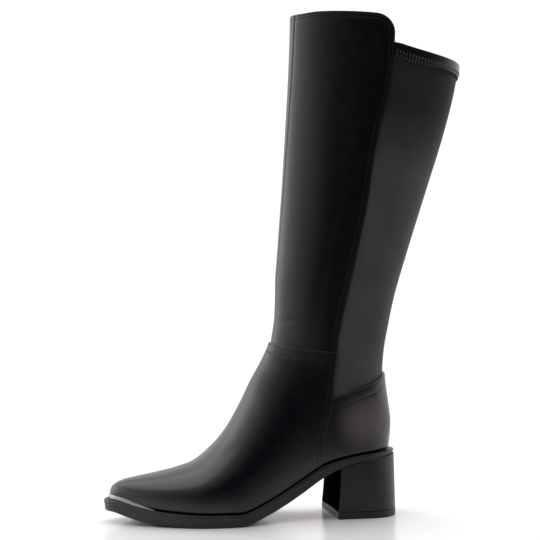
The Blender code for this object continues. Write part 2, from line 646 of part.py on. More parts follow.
def ladder(rings, count):
    """Closes rings that lie one over another, with rungs from the outer to the inner side at both ends."""
    total = 2 * count - 2
    points = np.concatenate(rings)
    faces = []
    for level in range(len(rings) - 1):
        for place in range(total):
            following = (place + 1) % total
            faces.append([level * total + place, level * total + following,
                          (level + 1) * total + following, (level + 1) * total + place])
    for level in (0, len(rings) - 1):
        base = level * total
        for place in range(count - 1):
            face = [base + place, base + place + 1, base + (total - place - 1) % total,
                    base + (total - place) % total]
            faces.append(face)
    cleaned = []
    for face in faces:
        kept = [n for place, n in enumerate(face) if n not in face[:place]]
        if len(kept) > 2:
            cleaned.append(kept)
    return points, cleaned


# Side of the outsole, from its top edge down. drop: share of the thickness; inset: in from the edge.
SOLE_SIDE_COLUMNS = ("drop", "inset")
SOLE_SIDE = (
    (0.00, 0.7 * MM),
    (0.10, 0.0 * MM),
    (0.32, 0.0 * MM),
    (0.38, 0.5 * MM),
    (0.90, 0.9 * MM),
    (1.00, 1.9 * MM),
)


def build_outsole(rubber):
    """The outsole: ledge, toe spring, flat tread under the ball, arch and heel seat."""
    ring, normals, ledge, count = plan_outline()
    rings = []
    for drop, inset in SOLE_SIDE:
        places = ring + normals * (ledge - inset)[:, None]
        top = bed_height(places[:, 0]) - GAP
        z = top + (tread_height(places[:, 0]) - top) * drop
        rings.append(np.column_stack([places, z]))
    points, faces = ladder(rings, count)
    sole = add_object("outsole", points, faces)
    return finished(sole, rubber, smooth=SOLE_ANGLE)


def tread_line():
    """Underside of the outsole in side view, toe to heel, carried on behind the heel."""
    line = bed_line()
    behind = line[-2, 0] + np.array([0.5, 1.0]) * PAST_ENDS
    x = np.concatenate([line[1:-1, 0], behind])
    return np.stack([x, tread_height(x)], axis=1)


def heel_outline(up):
    """D-shaped plan outline of the heel, where up is 0 at the floor and 1 at the heel seat."""
    half = HEEL_WIDTH / 2 - HEEL_TAPER * (1 - up)
    back = along(HEEL_BACK) + HEEL_BACK_LEAN * (1 - up)
    breast = back - HEEL_LENGTH - HEEL_FLARE * (1 - up) ** FLARE_POWER
    middle = back - half
    turn = np.linspace(-math.pi / 2, math.pi / 2, BOW_POINTS)
    squareness = 2 / HEEL_SQUARE
    bow_x = middle + half * np.abs(np.cos(turn)) ** squareness
    bow_y = half * np.sign(np.sin(turn)) * np.abs(np.sin(turn)) ** squareness
    across = np.linspace(1, -1, BREAST_POINTS)
    front_x = breast + HEEL_HOLLOW * (1 - across ** 2)
    front_y = across * (half - BREAST_ROUND)
    return np.column_stack([np.concatenate([bow_x, front_x]), np.concatenate([bow_y, front_y])])


def stacked(name, levels):
    """A solid through plan outlines at rising heights, closed by flat ends."""
    count = len(levels[0][0])
    points = np.concatenate([np.column_stack([outline, np.full(count, z)]) for outline, z in levels])
    faces = []
    for level in range(len(levels) - 1):
        for place in range(count):
            following = (place + 1) % count
            faces.append([level * count + place, level * count + following,
                          (level + 1) * count + following, (level + 1) * count + place])
    last = (len(levels) - 1) * count
    faces.append(list(range(count))[::-1])
    faces.append([last + place for place in range(count)])
    return add_object(name, points, faces)


def build_heel(rubber, wear):
    """The heel block under the seat, and the wear layer under it."""
    levels = []
    for share in np.linspace(0, 1, HEEL_LEVELS):
        z = TOP_PIECE + GAP + share * (SEAT_HEIGHT - TOP_PIECE - GAP)
        levels.append((heel_outline(min(z / SEAT_HEIGHT, 1.0)), z))
    heel = stacked("heel", levels)
    line = shifted(tread_line(), z=-GAP)
    above = prism("above_heel", [*line, (line[-1, 0], FAR), (line[0, 0], FAR)])
    boolean(heel, "DIFFERENCE", above)
    remove(above)
    finished(heel, rubber)
    base = heel_outline(0.0)
    middle = base.mean(axis=0)
    drawn_in = middle + (base - middle) * (1 - WEAR_EDGE / (HEEL_WIDTH / 2))
    top_piece = stacked("top_piece", [(drawn_in, 0.0), (base, WEAR_EDGE), (base, TOP_PIECE)])
    return heel, finished(top_piece, wear)


def build_insole(cloth):
    """The inner sole, inside the upper and on the outsole."""
    insole = form("insole", -FOOT_INSIDE - GAP)
    line = bed_line()
    layer = prism("insole_layer", [*shifted(line, z=GAP), *shifted(line, z=GAP + INSOLE_THICK)[::-1]])
    boolean(insole, "INTERSECT", layer)
    remove(layer)
    return finished(insole, cloth)


def build_toe_plate(metal):
    """The thin plate on the ledge around the toe, a crescent that tapers along both sides."""
    ring, normals, ledge, count = plan_outline()
    total = len(ring)
    tip_x = ring[0, 0]
    near = [place for place in range(-count // 2, count // 2) if ring[place, 0] < tip_x + PLATE_REACH]
    order = np.array(sorted(near)) % total
    reach = np.clip((ring[order, 0] - tip_x) / PLATE_REACH, 0, 1)
    inner_edge = VAMP_LAP + 2 * GAP
    outer_edge = ledge[order] - PLATE_MARGIN
    width = np.maximum((outer_edge - inner_edge) * (1 - reach ** 3), PLATE_TIP)
    inside = ring[order] + normals[order] * inner_edge
    outside = ring[order] + normals[order] * (inner_edge + width)[:, None]
    count = len(order)
    points = []
    for lift in (0.0, PLATE_THICK):
        for places in (inside, outside):
            points.append(np.column_stack([places, bed_height(places[:, 0]) + lift]))
    points = np.concatenate(points)
    low_in, low_out, high_in, high_out = (np.arange(count) + count * k for k in range(4))
    faces = [[low_in[0], low_out[0], high_out[0], high_in[0]],
             [low_in[-1], high_in[-1], high_out[-1], low_out[-1]]]
    for place in range(count - 1):
        following = place + 1
        for one, two in ((low_in, low_out), (low_out, high_out), (high_out, high_in), (high_in, low_in)):
            faces.append([one[place], one[following], two[following], two[place]])
    plate = add_object("toe_plate", points, faces)
    return finished(plate, metal)


def stand_on_floor(pieces):
    """Moves all pieces so that the middle of the box's underside is at the origin."""
    corners = np.concatenate([np.array([tuple(v.co) for v in piece.data.vertices]) for piece in pieces])
    low, high = corners.min(axis=0), corners.max(axis=0)
    shift = np.array([-(low[0] + high[0]) / 2, -(low[1] + high[1]) / 2, -low[2]])
    for piece in pieces:
        for vertex in piece.data.vertices:
            vertex.co = np.array(vertex.co) + shift
        piece.data.update()


def build():
    """All pieces of the boot, on the floor."""
    for old in list(bpy.data.objects):
        bpy.data.objects.remove(old)
    leather = material("black_leather", (0.012, 0.012, 0.013), 0.32)
    cloth = material("stretch_cloth", (0.030, 0.030, 0.033), 0.85)
    rubber = material("black_rubber", (0.010, 0.010, 0.010), 0.48)
    wear = material("wear_rubber", (0.016, 0.016, 0.016), 0.70)
    lining = material("lining", (0.06, 0.055, 0.05), 0.80)
    metal = material("dark_metal", (0.22, 0.22, 0.23), 0.25, 1.0)
    pieces = [build_upper(leather), *build_shaft(leather), *build_stretch(cloth)]
    pieces += [build_outsole(rubber), *build_heel(rubber, wear), build_insole(lining), build_toe_plate(metal)]
    stand_on_floor(pieces)
    return pieces


build()
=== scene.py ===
# %% [markdown]
# A knee-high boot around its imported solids. The solids have the right size and place, and this file gives
# them their looks: finer skins with folded edges, seams, stitches, creases and leather. Everything rides on
# one body, because nothing on a boot like this turns on a joint.

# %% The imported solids
import bpy
import math
import numpy as np
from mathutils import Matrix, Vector


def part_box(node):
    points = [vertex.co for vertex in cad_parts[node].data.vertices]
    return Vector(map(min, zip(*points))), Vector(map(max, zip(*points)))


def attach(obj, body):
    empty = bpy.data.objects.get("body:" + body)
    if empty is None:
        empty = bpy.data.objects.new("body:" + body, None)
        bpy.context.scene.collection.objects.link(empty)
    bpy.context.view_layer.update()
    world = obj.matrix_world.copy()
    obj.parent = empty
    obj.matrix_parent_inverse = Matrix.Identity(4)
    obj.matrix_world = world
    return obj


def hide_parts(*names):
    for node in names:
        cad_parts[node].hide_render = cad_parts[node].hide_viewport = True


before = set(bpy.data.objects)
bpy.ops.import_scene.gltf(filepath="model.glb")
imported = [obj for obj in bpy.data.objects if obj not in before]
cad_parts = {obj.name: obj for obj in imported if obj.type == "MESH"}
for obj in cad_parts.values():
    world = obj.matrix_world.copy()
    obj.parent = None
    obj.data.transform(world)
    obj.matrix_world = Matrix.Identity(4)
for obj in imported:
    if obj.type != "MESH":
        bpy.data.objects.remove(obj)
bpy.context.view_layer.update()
print("nodes", sorted(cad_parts))

# %% [markdown]
# A real boot is made over a last, a solid foot and leg. Skins of leather and cloth lie on it at known
# depths, so the whole boot can be drawn from one last and a short list of thicknesses. The other way, to
# model each panel by itself, would leave gaps wherever two of them should meet.

# %% Sizes of the boot
MM = 0.001
SOLE_LENGTH = 265.5 * MM
BALL_WIDTH = 81.0 * MM
LEG_WIDTH = 79.0 * MM
SEAT_HEIGHT = 59.2 * MM
ANKLE_HEIGHT = SEAT_HEIGHT + 105.8 * MM
BOOT_HEIGHT = 462.5 * MM
CALF_SWING = 83.0 * MM
SOLE_THICK = 10.8 * MM
TOE_SPRING = 9.4 * MM
LEDGE = 3.4 * MM
GAP = 0.3 * MM
HEM_HEIGHT = 11.5 * MM
COLLAR_RADIUS = 18.0 * MM
SEAM_LEAN, SEAM_FROM, SEAM_TO = 10.0 * MM, 0.8, 1.1
print("boot height in mm", round(BOOT_HEIGHT / MM, 1))

# %% [markdown]
# The panels lie over one another like tiles, so each has its own height over the last. The vamp is on top,
# the counter next, and the stretch cloth lies lowest. One number for each keeps the laps easy to change.

# %% Heights of the skins over the last
SHAFT_SKIN = 0.0
STRETCH_SKIN = -1.0 * MM
HEM_SKIN = 0.7 * MM
VAMP_SKIN = 1.9 * MM
COUNTER_SKIN = 1.2 * MM
LINING_SKIN = -2.2 * MM
FOOT_LINING = -1.1 * MM
STEPS = 18                       # sections from one row of a table to the next
LOW_STEPS, HIGH_STEPS = 22, 36   # points below and above the widest place of a section
LINE_STEPS = 4                   # points from one row of a panel line to the next
print("step from vamp down to counter in mm", (VAMP_SKIN - COUNTER_SKIN) / MM)

# %% [markdown]
# The last is a fan of sections. Each row of these tables is one section, and its numbers are shares of the
# sizes above, so that a longer or a higher boot keeps its character. A section runs from its low point on
# the sole to its top on the ridge. Its middle leans from axis to lean. Sole is half its width at the
# bottom, and wide is half its greatest width, at the share of its height named full. Crown says how square
# it is above that. Thick and ledge belong to the sole under it.

# %% Sections of the foot
FOOT_COLUMNS = ("low", "top", "arch", "spring", "ridge", "axis", "lean", "sole", "wide",
                "full", "crown", "thick", "ledge")
FOOT_ROWS = (
    (0.9725, 0.9732, 0.000, 1.000, 0.1570, 0.060, 0.060, 0.000, 0.000, 0.40, 2.30, 0.90, 2.05),
    (0.9691, 0.9695, 0.000, 1.000, 0.1730, 0.060, 0.060, 0.062, 0.064, 0.40, 2.30, 0.92, 1.95),
    (0.9589, 0.9597, 0.000, 0.980, 0.1880, 0.060, 0.060, 0.115, 0.120, 0.40, 2.30, 0.96, 1.70),
    (0.9341, 0.9341, 0.000, 0.870, 0.2055, 0.058, 0.060, 0.185, 0.195, 0.40, 2.30, 1.05, 1.35),
    (0.8927, 0.8927, 0.000, 0.600, 0.2185, 0.053, 0.060, 0.269, 0.284, 0.39, 2.25, 1.10, 1.10),
    (0.8324, 0.8324, 0.000, 0.310, 0.2355, 0.043, 0.058, 0.364, 0.383, 0.38, 2.20, 1.09, 1.00),
    (0.7608, 0.7608, 0.000, 0.120, 0.2610, 0.026, 0.054, 0.444, 0.466, 0.37, 2.10, 1.03, 1.00),
    (0.6930, 0.6968, 0.000, 0.020, 0.2985, 0.007, 0.049, 0.490, 0.513, 0.36, 2.05, 1.03, 1.00),
    (0.6252, 0.6450, 0.000, 0.000, 0.3670, -0.010, 0.042, 0.496, 0.522, 0.36, 2.00, 1.03, 1.00),
    (0.5574, 0.6020, 0.005, 0.000, 0.4450, -0.025, 0.034, 0.467, 0.498, 0.36, 1.95, 1.03, 0.97),
    (0.4896, 0.5645, 0.145, 0.000, 0.5420, -0.030, 0.027, 0.414, 0.459, 0.37, 1.92, 1.06, 0.90),
    (0.4218, 0.5350, 0.325, 0.000, 0.6320, -0.025, 0.020, 0.363, 0.430, 0.38, 1.92, 1.12, 0.85),
    (0.3540, 0.5098, 0.535, 0.000, 0.7200, -0.015, 0.012, 0.333, 0.412, 0.39, 1.93, 1.12, 0.85),
    (0.2862, 0.4878, 0.748, 0.000, 0.7855, -0.006, 0.007, 0.328, 0.402, 0.40, 1.95, 1.00, 0.92),
    (0.2184, 0.4702, 0.862, 0.000, 0.8365, 0.000, 0.004, 0.334, 0.397, 0.41, 1.97, 0.68, 1.00),
    (0.1540, 0.4568, 0.932, 0.000, 0.8820, 0.000, 0.001, 0.339, 0.395, 0.42, 2.00, 0.57, 1.05),
    (0.1035, 0.4472, 0.968, 0.000, 0.9165, 0.000, 0.000, 0.341, 0.395, 0.43, 2.00, 0.51, 1.20),
    (0.0645, 0.4412, 0.986, 0.000, 0.9485, 0.000, 0.000, 0.342, 0.395, 0.44, 2.00, 0.47, 1.45),
    (0.0422, 0.4390, 0.997, 0.000, 0.9755, 0.000, 0.000, 0.342, 0.396, 0.45, 2.00, 0.42, 1.66),
    (0.0334, 0.4366, 1.000, 0.000, 0.9970, 0.000, 0.000, 0.342, 0.397, 0.45, 2.00, 0.40, 1.84),
)

# %% [markdown]
# The leg grows from ankle to collar and leans back over the calf. Its sections are rows of shares too, so
# the foot and the leg can be read with the same functions. Swing carries the back out over the calf, and
# round says how far in from the back the heel's and the calf's rounding reaches.

# %% Sections of the leg
LEG_COLUMNS = ("low", "swing", "top", "back", "front", "foot", "wide", "full", "crown", "round")
HEEL_ROUND = 0.365
LEG_ROWS = (
    (0.0288, 0.000, 0.4338, 0.4150, 1.0130, 0.356, 0.408, 0.45, 2.00, 0.370),
    (0.0250, 0.000, 0.4305, 0.5090, 1.0320, 0.368, 0.413, 0.46, 2.00, 0.390),
    (0.0345, 0.000, 0.4282, 0.6420, 1.0600, 0.388, 0.418, 0.46, 2.00, 0.430),
    (0.0434, 0.000, 0.4267, 0.7580, 1.0900, 0.405, 0.421, 0.46, 2.00, 0.480),
    (0.0398, 0.000, 0.4260, 0.8670, 1.1240, 0.418, 0.426, 0.46, 2.00, 0.530),
    (0.0366, 0.036, 0.4252, 1.0000, 1.1650, 0.433, 0.433, 0.46, 2.00, 0.580),
    (0.0360, 0.125, 0.4210, 1.1110, 1.2180, 0.446, 0.446, 0.46, 2.00, 0.630),
    (0.0355, 0.283, 0.4140, 1.2520, 1.3020, 0.462, 0.462, 0.45, 2.00, 0.700),
    (0.0315, 0.515, 0.4005, 1.4540, 1.4700, 0.478, 0.478, 0.45, 2.00, 0.790),
    (0.0265, 0.703, 0.3898, 1.6220, 1.6280, 0.490, 0.490, 0.44, 2.00, 0.860),
    (0.0262, 0.870, 0.3795, 1.7900, 1.7900, 0.498, 0.498, 0.44, 2.00, 0.910),
    (0.0345, 0.950, 0.3748, 1.8910, 1.8910, 0.500, 0.500, 0.43, 2.00, 0.930),
    (0.0370, 0.985, 0.3700, 2.0400, 2.0400, 0.500, 0.500, 0.43, 2.00, 0.940),
)
ROUND_POWER = 2.12               # squareness of the heel's and the calf's back in plan

# %% [markdown]
# The panels are cut from the skin along lines that are easiest to read from the side: the side seam, the
# tops of vamp and counter, the collar and the sloped hem. Each place is a share of the sole's length and a
# height.

# %% Lines of the panels
SIDE_SEAM = (
    (0.031, 1.92), (0.0365, 1.848), (0.046, 1.782), (0.054, 1.734), (0.08, 1.653), (0.111, 1.526),
    (0.132, 1.401), (0.161, 1.277), (0.191, 1.156), (0.222, 1.036), (0.235, 0.957), (0.243, 0.85),
    (0.252, 0.742), (0.256, 0.648), (0.264, 0.557), (0.281, 0.478), (0.289, 0.37), (0.291, 0.285),
)
VAMP_TOP = (
    (0.45, 0.957), (0.442, 0.945), (0.428, 0.929), (0.399, 0.917), (0.368, 0.909), (0.301, 0.898),
    (0.242, 0.89),
)
COUNTER_TOP = (
    (0.254, 0.644), (0.232, 0.6545), (0.196, 0.6745), (0.1585, 0.6975), (0.117, 0.7225), (0.067, 0.76),
    (0.034, 0.79), (-0.02, 0.84),
)
COLLAR = (
    (0.44, 2.011), (0.378, 2.005), (0.356, 1.998), (0.298, 1.996), (0.234, 1.9935), (0.163, 1.991),
    (0.08, 1.987),
)
HEM_TOP = (
    (0.035, 1.899), (-0.03, 1.885), (-0.113, 1.8735), (-0.208, 1.867), (-0.32, 1.866),
)
print("places on the side seam", len(SIDE_SEAM))

# %% [markdown]
# A last has no corners along its length, so the numbers between two rows follow a smooth curve, whose slope
# at a row is read from the rows beside it. A plain straight blend would show as flat bands in the shine.

# %% Reading a table and drawing a smooth curve
def table(columns, rows):
    """One array for each named column."""
    return {name: np.array([row[place] for row in rows]) for place, name in enumerate(columns)}


def along(share):
    """X of a place given as a share of the sole's length, counted from its back."""
    return -share * SOLE_LENGTH


def height(share):
    """Z of a height: 0 floor, 1 bend of the ankle, 2 top of the collar."""
    leg = BOOT_HEIGHT - ANKLE_HEIGHT
    return np.where(share <= 1.0, share * ANKLE_HEIGHT, ANKLE_HEIGHT + (share - 1.0) * leg)


def curve(knots, values, at):
    """Smooth curve through the values, with slopes read from each value's neighbours."""
    slopes = np.gradient(values, knots)
    start = np.clip(np.searchsorted(knots, at, side="right") - 1, 0, len(knots) - 2)
    span = knots[start + 1] - knots[start]
    u = (at - knots[start]) / span
    low = (1 + 2 * u) * (1 - u) ** 2 * values[start] + u * (1 - u) ** 2 * span * slopes[start]
    high = u * u * (3 - 2 * u) * values[start + 1] + u * u * (u - 1) * span * slopes[start + 1]
    return low + high


def lengths_along(points):
    """How far along a line of points each one lies."""
    return np.concatenate([[0.0], np.cumsum(np.linalg.norm(np.diff(points, axis=0), axis=1))])


def line_drawn(rows, past=12 * MM):
    """X and Z of a panel line with smooth points between its rows, carried straight on past both ends."""
    share, up = np.array(rows).T
    points = np.stack([along(share), height(up)], axis=1)
    chord = lengths_along(points)
    at = np.interp(np.linspace(0, len(rows) - 1, (len(rows) - 1) * LINE_STEPS + 1),
                   np.arange(len(rows)), chord)
    line = np.stack([curve(chord, points[:, 0], at), curve(chord, points[:, 1], at)], axis=1)
    first = (line[0] - line[1]) / np.linalg.norm(line[0] - line[1])
    end = (line[-1] - line[-2]) / np.linalg.norm(line[-1] - line[-2])
    return np.concatenate([[line[0] + first * past], line, [line[-1] + end * past]])


print("bend of the ankle in mm", round(float(height(1.0) / MM), 1))

# %% [markdown]
# Between the rows come many more sections, from toe to heel and up the leg. At the ankle the sections turn
# like the folds of a fan, which is how the foot turns into the leg on the real boot.

# %% The sections in a row
def stations(steps=STEPS):
    """All sections, from the toe tip over the heel to the collar, with smooth ones between the rows."""
    foot = table(FOOT_COLUMNS, FOOT_ROWS)
    leg = table(LEG_COLUMNS, LEG_ROWS)
    count = len(FOOT_ROWS)
    seat_rise = SEAT_HEIGHT - SOLE_THICK
    foot_low_z = SOLE_THICK + foot["arch"] * seat_rise + foot["spring"] * TOE_SPRING
    low_x = np.concatenate([along(foot["low"]), along(leg["low"]) + leg["swing"] * CALF_SWING])
    low_z = np.concatenate([foot_low_z, height(leg["back"])])
    top_x = np.concatenate([along(foot["top"]), along(leg["top"])])
    top_z = np.concatenate([height(foot["ridge"]), height(leg["front"])])
    nothing = np.zeros(len(LEG_ROWS))
    columns = {
        "top_x": top_x,
        "top_z": top_z,
        "axis": np.concatenate([foot["axis"] * BALL_WIDTH, nothing]),
        "lean": np.concatenate([foot["lean"] * BALL_WIDTH, nothing]),
        "wide": np.concatenate([foot["wide"] * BALL_WIDTH, leg["wide"] * LEG_WIDTH]),
        "full": np.concatenate([foot["full"], leg["full"]]),
        "crown": np.concatenate([foot["crown"], leg["crown"]]),
        "sole": np.concatenate([foot["sole"] * BALL_WIDTH, leg["foot"] * LEG_WIDTH]),
        "round": np.concatenate([np.full(count, HEEL_ROUND), leg["round"]]) * LEG_WIDTH,
    }
    moved = np.hypot(np.diff(low_x), np.diff(low_z)) + np.hypot(np.diff(top_x), np.diff(top_z))
    knots = np.concatenate([[0.0], np.cumsum(np.sqrt(moved))])
    rows = len(knots)
    at = np.interp(np.linspace(0, rows - 1, (rows - 1) * steps + 1), np.arange(rows), knots)
    made = {name: curve(knots, values, at) for name, values in columns.items()}
    corner = count - 1
    in_foot = at <= knots[corner] + 1e-9
    for name, values in (("low_x", low_x), ("low_z", low_z)):
        before = curve(knots[:count], values[:count], at)
        after = curve(knots[corner:], values[corner:], at)
        made[name] = np.where(in_foot, before, after)
    for name, scale in (("thick", SOLE_THICK), ("ledge", LEDGE)):
        inside = curve(knots[:count], foot[name] * scale, np.minimum(at, knots[corner]))
        made[name] = np.where(in_foot, inside, 0.0)
    made["foot_count"] = corner * steps + 1
    return made


# %% [markdown]
# Each section becomes a ring of points, close together at the sole's edge, where the form turns sharply.
# The grid of rings is the last, and every panel is cut from it.

# %% Points round each section
def section_grid(made):
    """Points of every section, up its outer side, over the ridge and down its inner side."""
    low_turn = np.linspace(0, math.pi / 2, LOW_STEPS + 1)[:-1]
    high_turn = np.linspace(0, math.pi / 2, HIGH_STEPS + 1)
    full = made["full"][:, None]
    below = full * (1 - np.cos(low_turn))[None, :]
    above = full + (1 - full) * np.sin(high_turn)[None, :]
    sole = made["sole"][:, None]
    wide = np.maximum(made["wide"], made["sole"])[:, None]
    drop = 1 - (1 - below / full) ** 2
    low_half = sole + (wide - sole) * drop
    crown = made["crown"][:, None]
    rest = 1 - ((above - full) / (1 - full)) ** crown
    high_half = wide * np.clip(rest, 0, 1) ** (1 / crown)
    share = np.concatenate([below, above], axis=1)
    half = np.concatenate([low_half, high_half], axis=1)
    half[:, -1] = 0.0
    x = made["low_x"][:, None] + share * (made["top_x"] - made["low_x"])[:, None]
    z = made["low_z"][:, None] + share * (made["top_z"] - made["low_z"])[:, None]
    back = made["foot_count"] - 1
    back_x = np.interp(z, made["low_z"][back:], made["low_x"][back:])
    reach = np.interp(z, made["low_z"][back:], made["round"][back:])
    into = np.clip((back_x - x) / reach, 0.0, 1.0)
    half = half * (1 - (1 - into) ** ROUND_POWER) ** (1 / ROUND_POWER)
    middle = made["axis"][:, None] + share * (made["lean"] - made["axis"])[:, None]
    outer = np.stack([x, middle - half, z], axis=2)
    inner = np.stack([x, middle + half, z], axis=2)
    return np.concatenate([outer, inner[:, -2::-1]], axis=1)


def shared_numbers(grid, foot_count):
    """A vertex number for each grid point. The tip, the heel's back and the leg's back line are shared."""
    rows, ring = grid.shape[:2]
    numbers = np.arange(rows * ring).reshape(rows, ring)
    numbers[0, ring // 2 + 1:] = numbers[0, :ring // 2][::-1]
    numbers[foot_count - 1:, -1] = numbers[foot_count - 1:, 0]
    return numbers


made = stations()
last = section_grid(made)
numbers = shared_numbers(last, made["foot_count"])
print("points on the last", last.shape[0] * last.shape[1])

# %% [markdown]
# Seen from the side, the sole springs up at the toe, rests on the ball, and climbs to the heel. Two curves
# give the bed that the foot stands on and the tread below it.

# %% Heights of the sole's bed and tread
count = made["foot_count"]
bed_x, bed_z, bed_thick = made["low_x"][:count], made["low_z"][:count], made["thick"][:count]


def bed_at(x):
    """Height of the bed that the upper stands on."""
    return np.interp(x, bed_x, bed_z)


def tread_at(x):
    """Height of the sole's underside."""
    return np.maximum(bed_at(x) - np.interp(x, bed_x, bed_thick), 0.0)


print("bed under the heel in mm", round(float(bed_z[-1] / MM), 1))

# %% [markdown]
# A skin stands on the last along its normals. One normal is worked out for each point, from the faces
# around it, and all skins share them. That keeps two skins exactly their difference in depth apart, which
# Solidify would only manage roughly at the tight bends of toe and heel.

# %% Normals of the last
def normals_of(grid):
    """Outward normals, one for each grid point."""
    flat = grid.reshape(-1, 3)
    total = np.zeros_like(flat)
    a, b = numbers[:-1, :-1], numbers[:-1, 1:]
    c, d = numbers[1:, 1:], numbers[1:, :-1]
    across = np.cross(flat[c] - flat[a], flat[d] - flat[b]).reshape(-1, 3)
    for corner in (a, b, c, d):
        np.add.at(total, corner.ravel(), across)
    used = total[numbers.ravel()]
    used /= np.maximum(np.linalg.norm(used, axis=1), 1e-12)[:, None]
    if total[numbers[len(grid) // 2, LOW_STEPS], 1] > 0:
        used = -used
    return used


last_points = last.reshape(-1, 3)[numbers.ravel()]
last_normals = normals_of(last)
quads = np.stack([numbers[:-1, :-1], numbers[:-1, 1:], numbers[1:, 1:], numbers[1:, :-1]],
                 axis=2).reshape(-1, 4)
side = last_points[quads]
facing = np.einsum("ij,ij->i", np.cross(side[:, 2] - side[:, 0], side[:, 3] - side[:, 1]),
                   last_normals[quads[:, 0]])
quads = np.where((facing < 0)[:, None], quads[:, ::-1], quads)
print("faces on the last", len(quads))

# %% [markdown]
# A shoemaker marks the seams on the last with a pencil. Here each seam is a line in the side view, and a
# function says how far a point lies from it. That distance cuts the panels, sinks the grooves and places
# the stitches.

# %% Distances to a line, seen from the side
def away(line, x, z):
    """Distance of each place from the line."""
    best = np.full(len(x), 1e9)
    for a, b in zip(line[:-1], line[1:]):
        run = b - a
        t = np.clip(((x - a[0]) * run[0] + (z - a[1]) * run[1]) / max(run @ run, 1e-12), 0, 1)
        best = np.minimum(best, np.hypot(x - a[0] - t * run[0], z - a[1] - t * run[1]))
    return best


seam_line = line_drawn(SIDE_SEAM, 60 * MM)
vamp_line = line_drawn(VAMP_TOP)
counter_line = line_drawn(COUNTER_TOP)
collar_line = line_drawn(COLLAR, 60 * MM)
hem_line = line_drawn(HEM_TOP, 30 * MM)
print("side seam in mm", round(float(lengths_along(seam_line)[-1] / MM)))

# %% [markdown]
# Each panel is what lies on the right side of a few lines. A signed distance says how far inside a place
# is, and also where stitches and folds run, since those keep an even distance from an edge.

# %% Inside and outside of the lines
def under(line, x, z):
    """Positive below the line."""
    order = np.argsort(line[:, 0])
    return np.sign(np.interp(x, line[order, 0], line[order, 1]) - z) * away(line, x, z)


def ahead(x, z):
    """Positive in front of the side seam."""
    order = np.argsort(seam_line[:, 1])
    return np.sign(np.interp(z, seam_line[order, 1], seam_line[order, 0]) - x) * away(seam_line, x, z)


def leather_field(x, z):
    """Positive on the leather front of the shaft, with its rounded back corner at the collar."""
    a, b = under(collar_line, x, z), ahead(x, z)
    near = (a < COLLAR_RADIUS) & (b < COLLAR_RADIUS)
    round_part = COLLAR_RADIUS - np.hypot(COLLAR_RADIUS - a, COLLAR_RADIUS - b)
    return np.where(near, round_part, np.minimum(a, b))


def seam_plane(points):
    """Positive on the inner side of the front seam, which leans out towards the collar."""
    low, high = ANKLE_HEIGHT * SEAM_FROM, BOOT_HEIGHT * SEAM_TO
    lean = SEAM_LEAN * (points[:, 2] - low) / (high - low)
    return points[:, 1] + lean


print("front seam is off the centre by", round(SEAM_LEAN / MM, 1), "mm near the collar")

# %% [markdown]
# A panel starts as the whole skin. Faces that cross a line are cut there, so that the edge runs smoothly
# and not in the steps of the grid. A Boolean would do the same more slowly and leave long thin faces.

# %% Cutting a skin along a line
def split_skin(skin, values):
    """Cuts the faces that a line crosses. Gives the part above it, both parts, and the edges on the line."""
    points, normals, faces = skin
    inside, values = (values > 0).tolist(), values.tolist()
    extra, extra_normals, made_at, above, below, line = [], [], {}, [], [], []

    def corner(a, b):
        a, b = (a, b) if a < b else (b, a)
        if (a, b) not in made_at:
            t = values[a] / (values[a] - values[b])
            made_at[a, b] = len(points) + len(extra)
            extra.append(points[a] * (1 - t) + points[b] * t)
            normal = normals[a] * (1 - t) + normals[b] * t
            extra_normals.append(normal / max(np.linalg.norm(normal), 1e-12))
        return made_at[a, b]

    for face in faces:
        found = sum(inside[n] for n in face)
        if found in (0, len(face)):
            (above if found else below).append(face)
            continue
        one, other, crossing = [], [], []
        for place, n in enumerate(face):
            following = face[(place + 1) % len(face)]
            (one if inside[n] else other).append(n)
            if inside[n] != inside[following]:
                new = corner(n, following)
                one.append(new)
                other.append(new)
                crossing.append(new)
        above.append(tuple(one))
        below.append(tuple(other))
        if len(crossing) == 2:
            line.append(tuple(crossing))
    if extra:
        points, normals = np.concatenate([points, extra]), np.concatenate([normals, extra_normals])
    return (points, normals, above), (points, normals, above + below), line


def only_used(skin):
    """Drops the points that no face uses any more."""
    points, normals, faces = skin
    used = sorted({n for face in faces for n in face})
    place = {n: i for i, n in enumerate(used)}
    return points[used], normals[used], [tuple(place[n] for n in face) for face in faces]


whole_faces = [tuple(dict.fromkeys(face)) for face in quads.tolist()]
whole_skin = (last_points, last_normals, [face for face in whole_faces if len(face) > 2])
print("skin faces", len(whole_skin[2]))

# %% [markdown]
# A panel is the last's skin inside some lines. Its flat part stops just short of a line, since the rolled
# edge takes the rest, and where another panel covers it, it runs on some millimetres underneath, so that no
# gap can open.

# %% Cutting out one panel
TRIM = 0.5 * MM                  # how far the flat part of a panel stops short of its line
SHAFT_UNDER_VAMP, COUNTER_UNDER_VAMP = -7 * MM, -4 * MM
STRETCH_UNDER_LEATHER, STRETCH_UNDER_COUNTER, HEM_UNDER_LEATHER = -5 * MM, -7 * MM, -3 * MM
GROOVE_WIDE = 0.6 * MM
GROOVE_LINES = (-1.3, -0.65, 0.0, 0.65, 1.3)      # places across a groove, in groove widths


def panel(*cuts):
    """The skin after several cuts. A cut is a function of the points and how far inside its line to cut."""
    skin = whole_skin
    for field, inset in cuts:
        skin = only_used(split_skin(skin, field(skin[0]) - inset)[0])
    return skin


def scored(skin, *lines):
    """Adds edges on both slopes and in the bottom of each groove, so that it comes out crisp."""
    for field, distance in lines:
        for beside_it in GROOVE_LINES:
            skin = split_skin(skin, field(skin[0]) - distance - beside_it * GROOVE_WIDE)[1]
    return skin


def by_side(function, *words):
    """Lets a side-view distance be read from 3-D points."""
    return lambda points: function(*words, points[:, 0], points[:, 2])


def opposite(function):
    """Positive where the distance is negative."""
    return lambda points: -function(points)


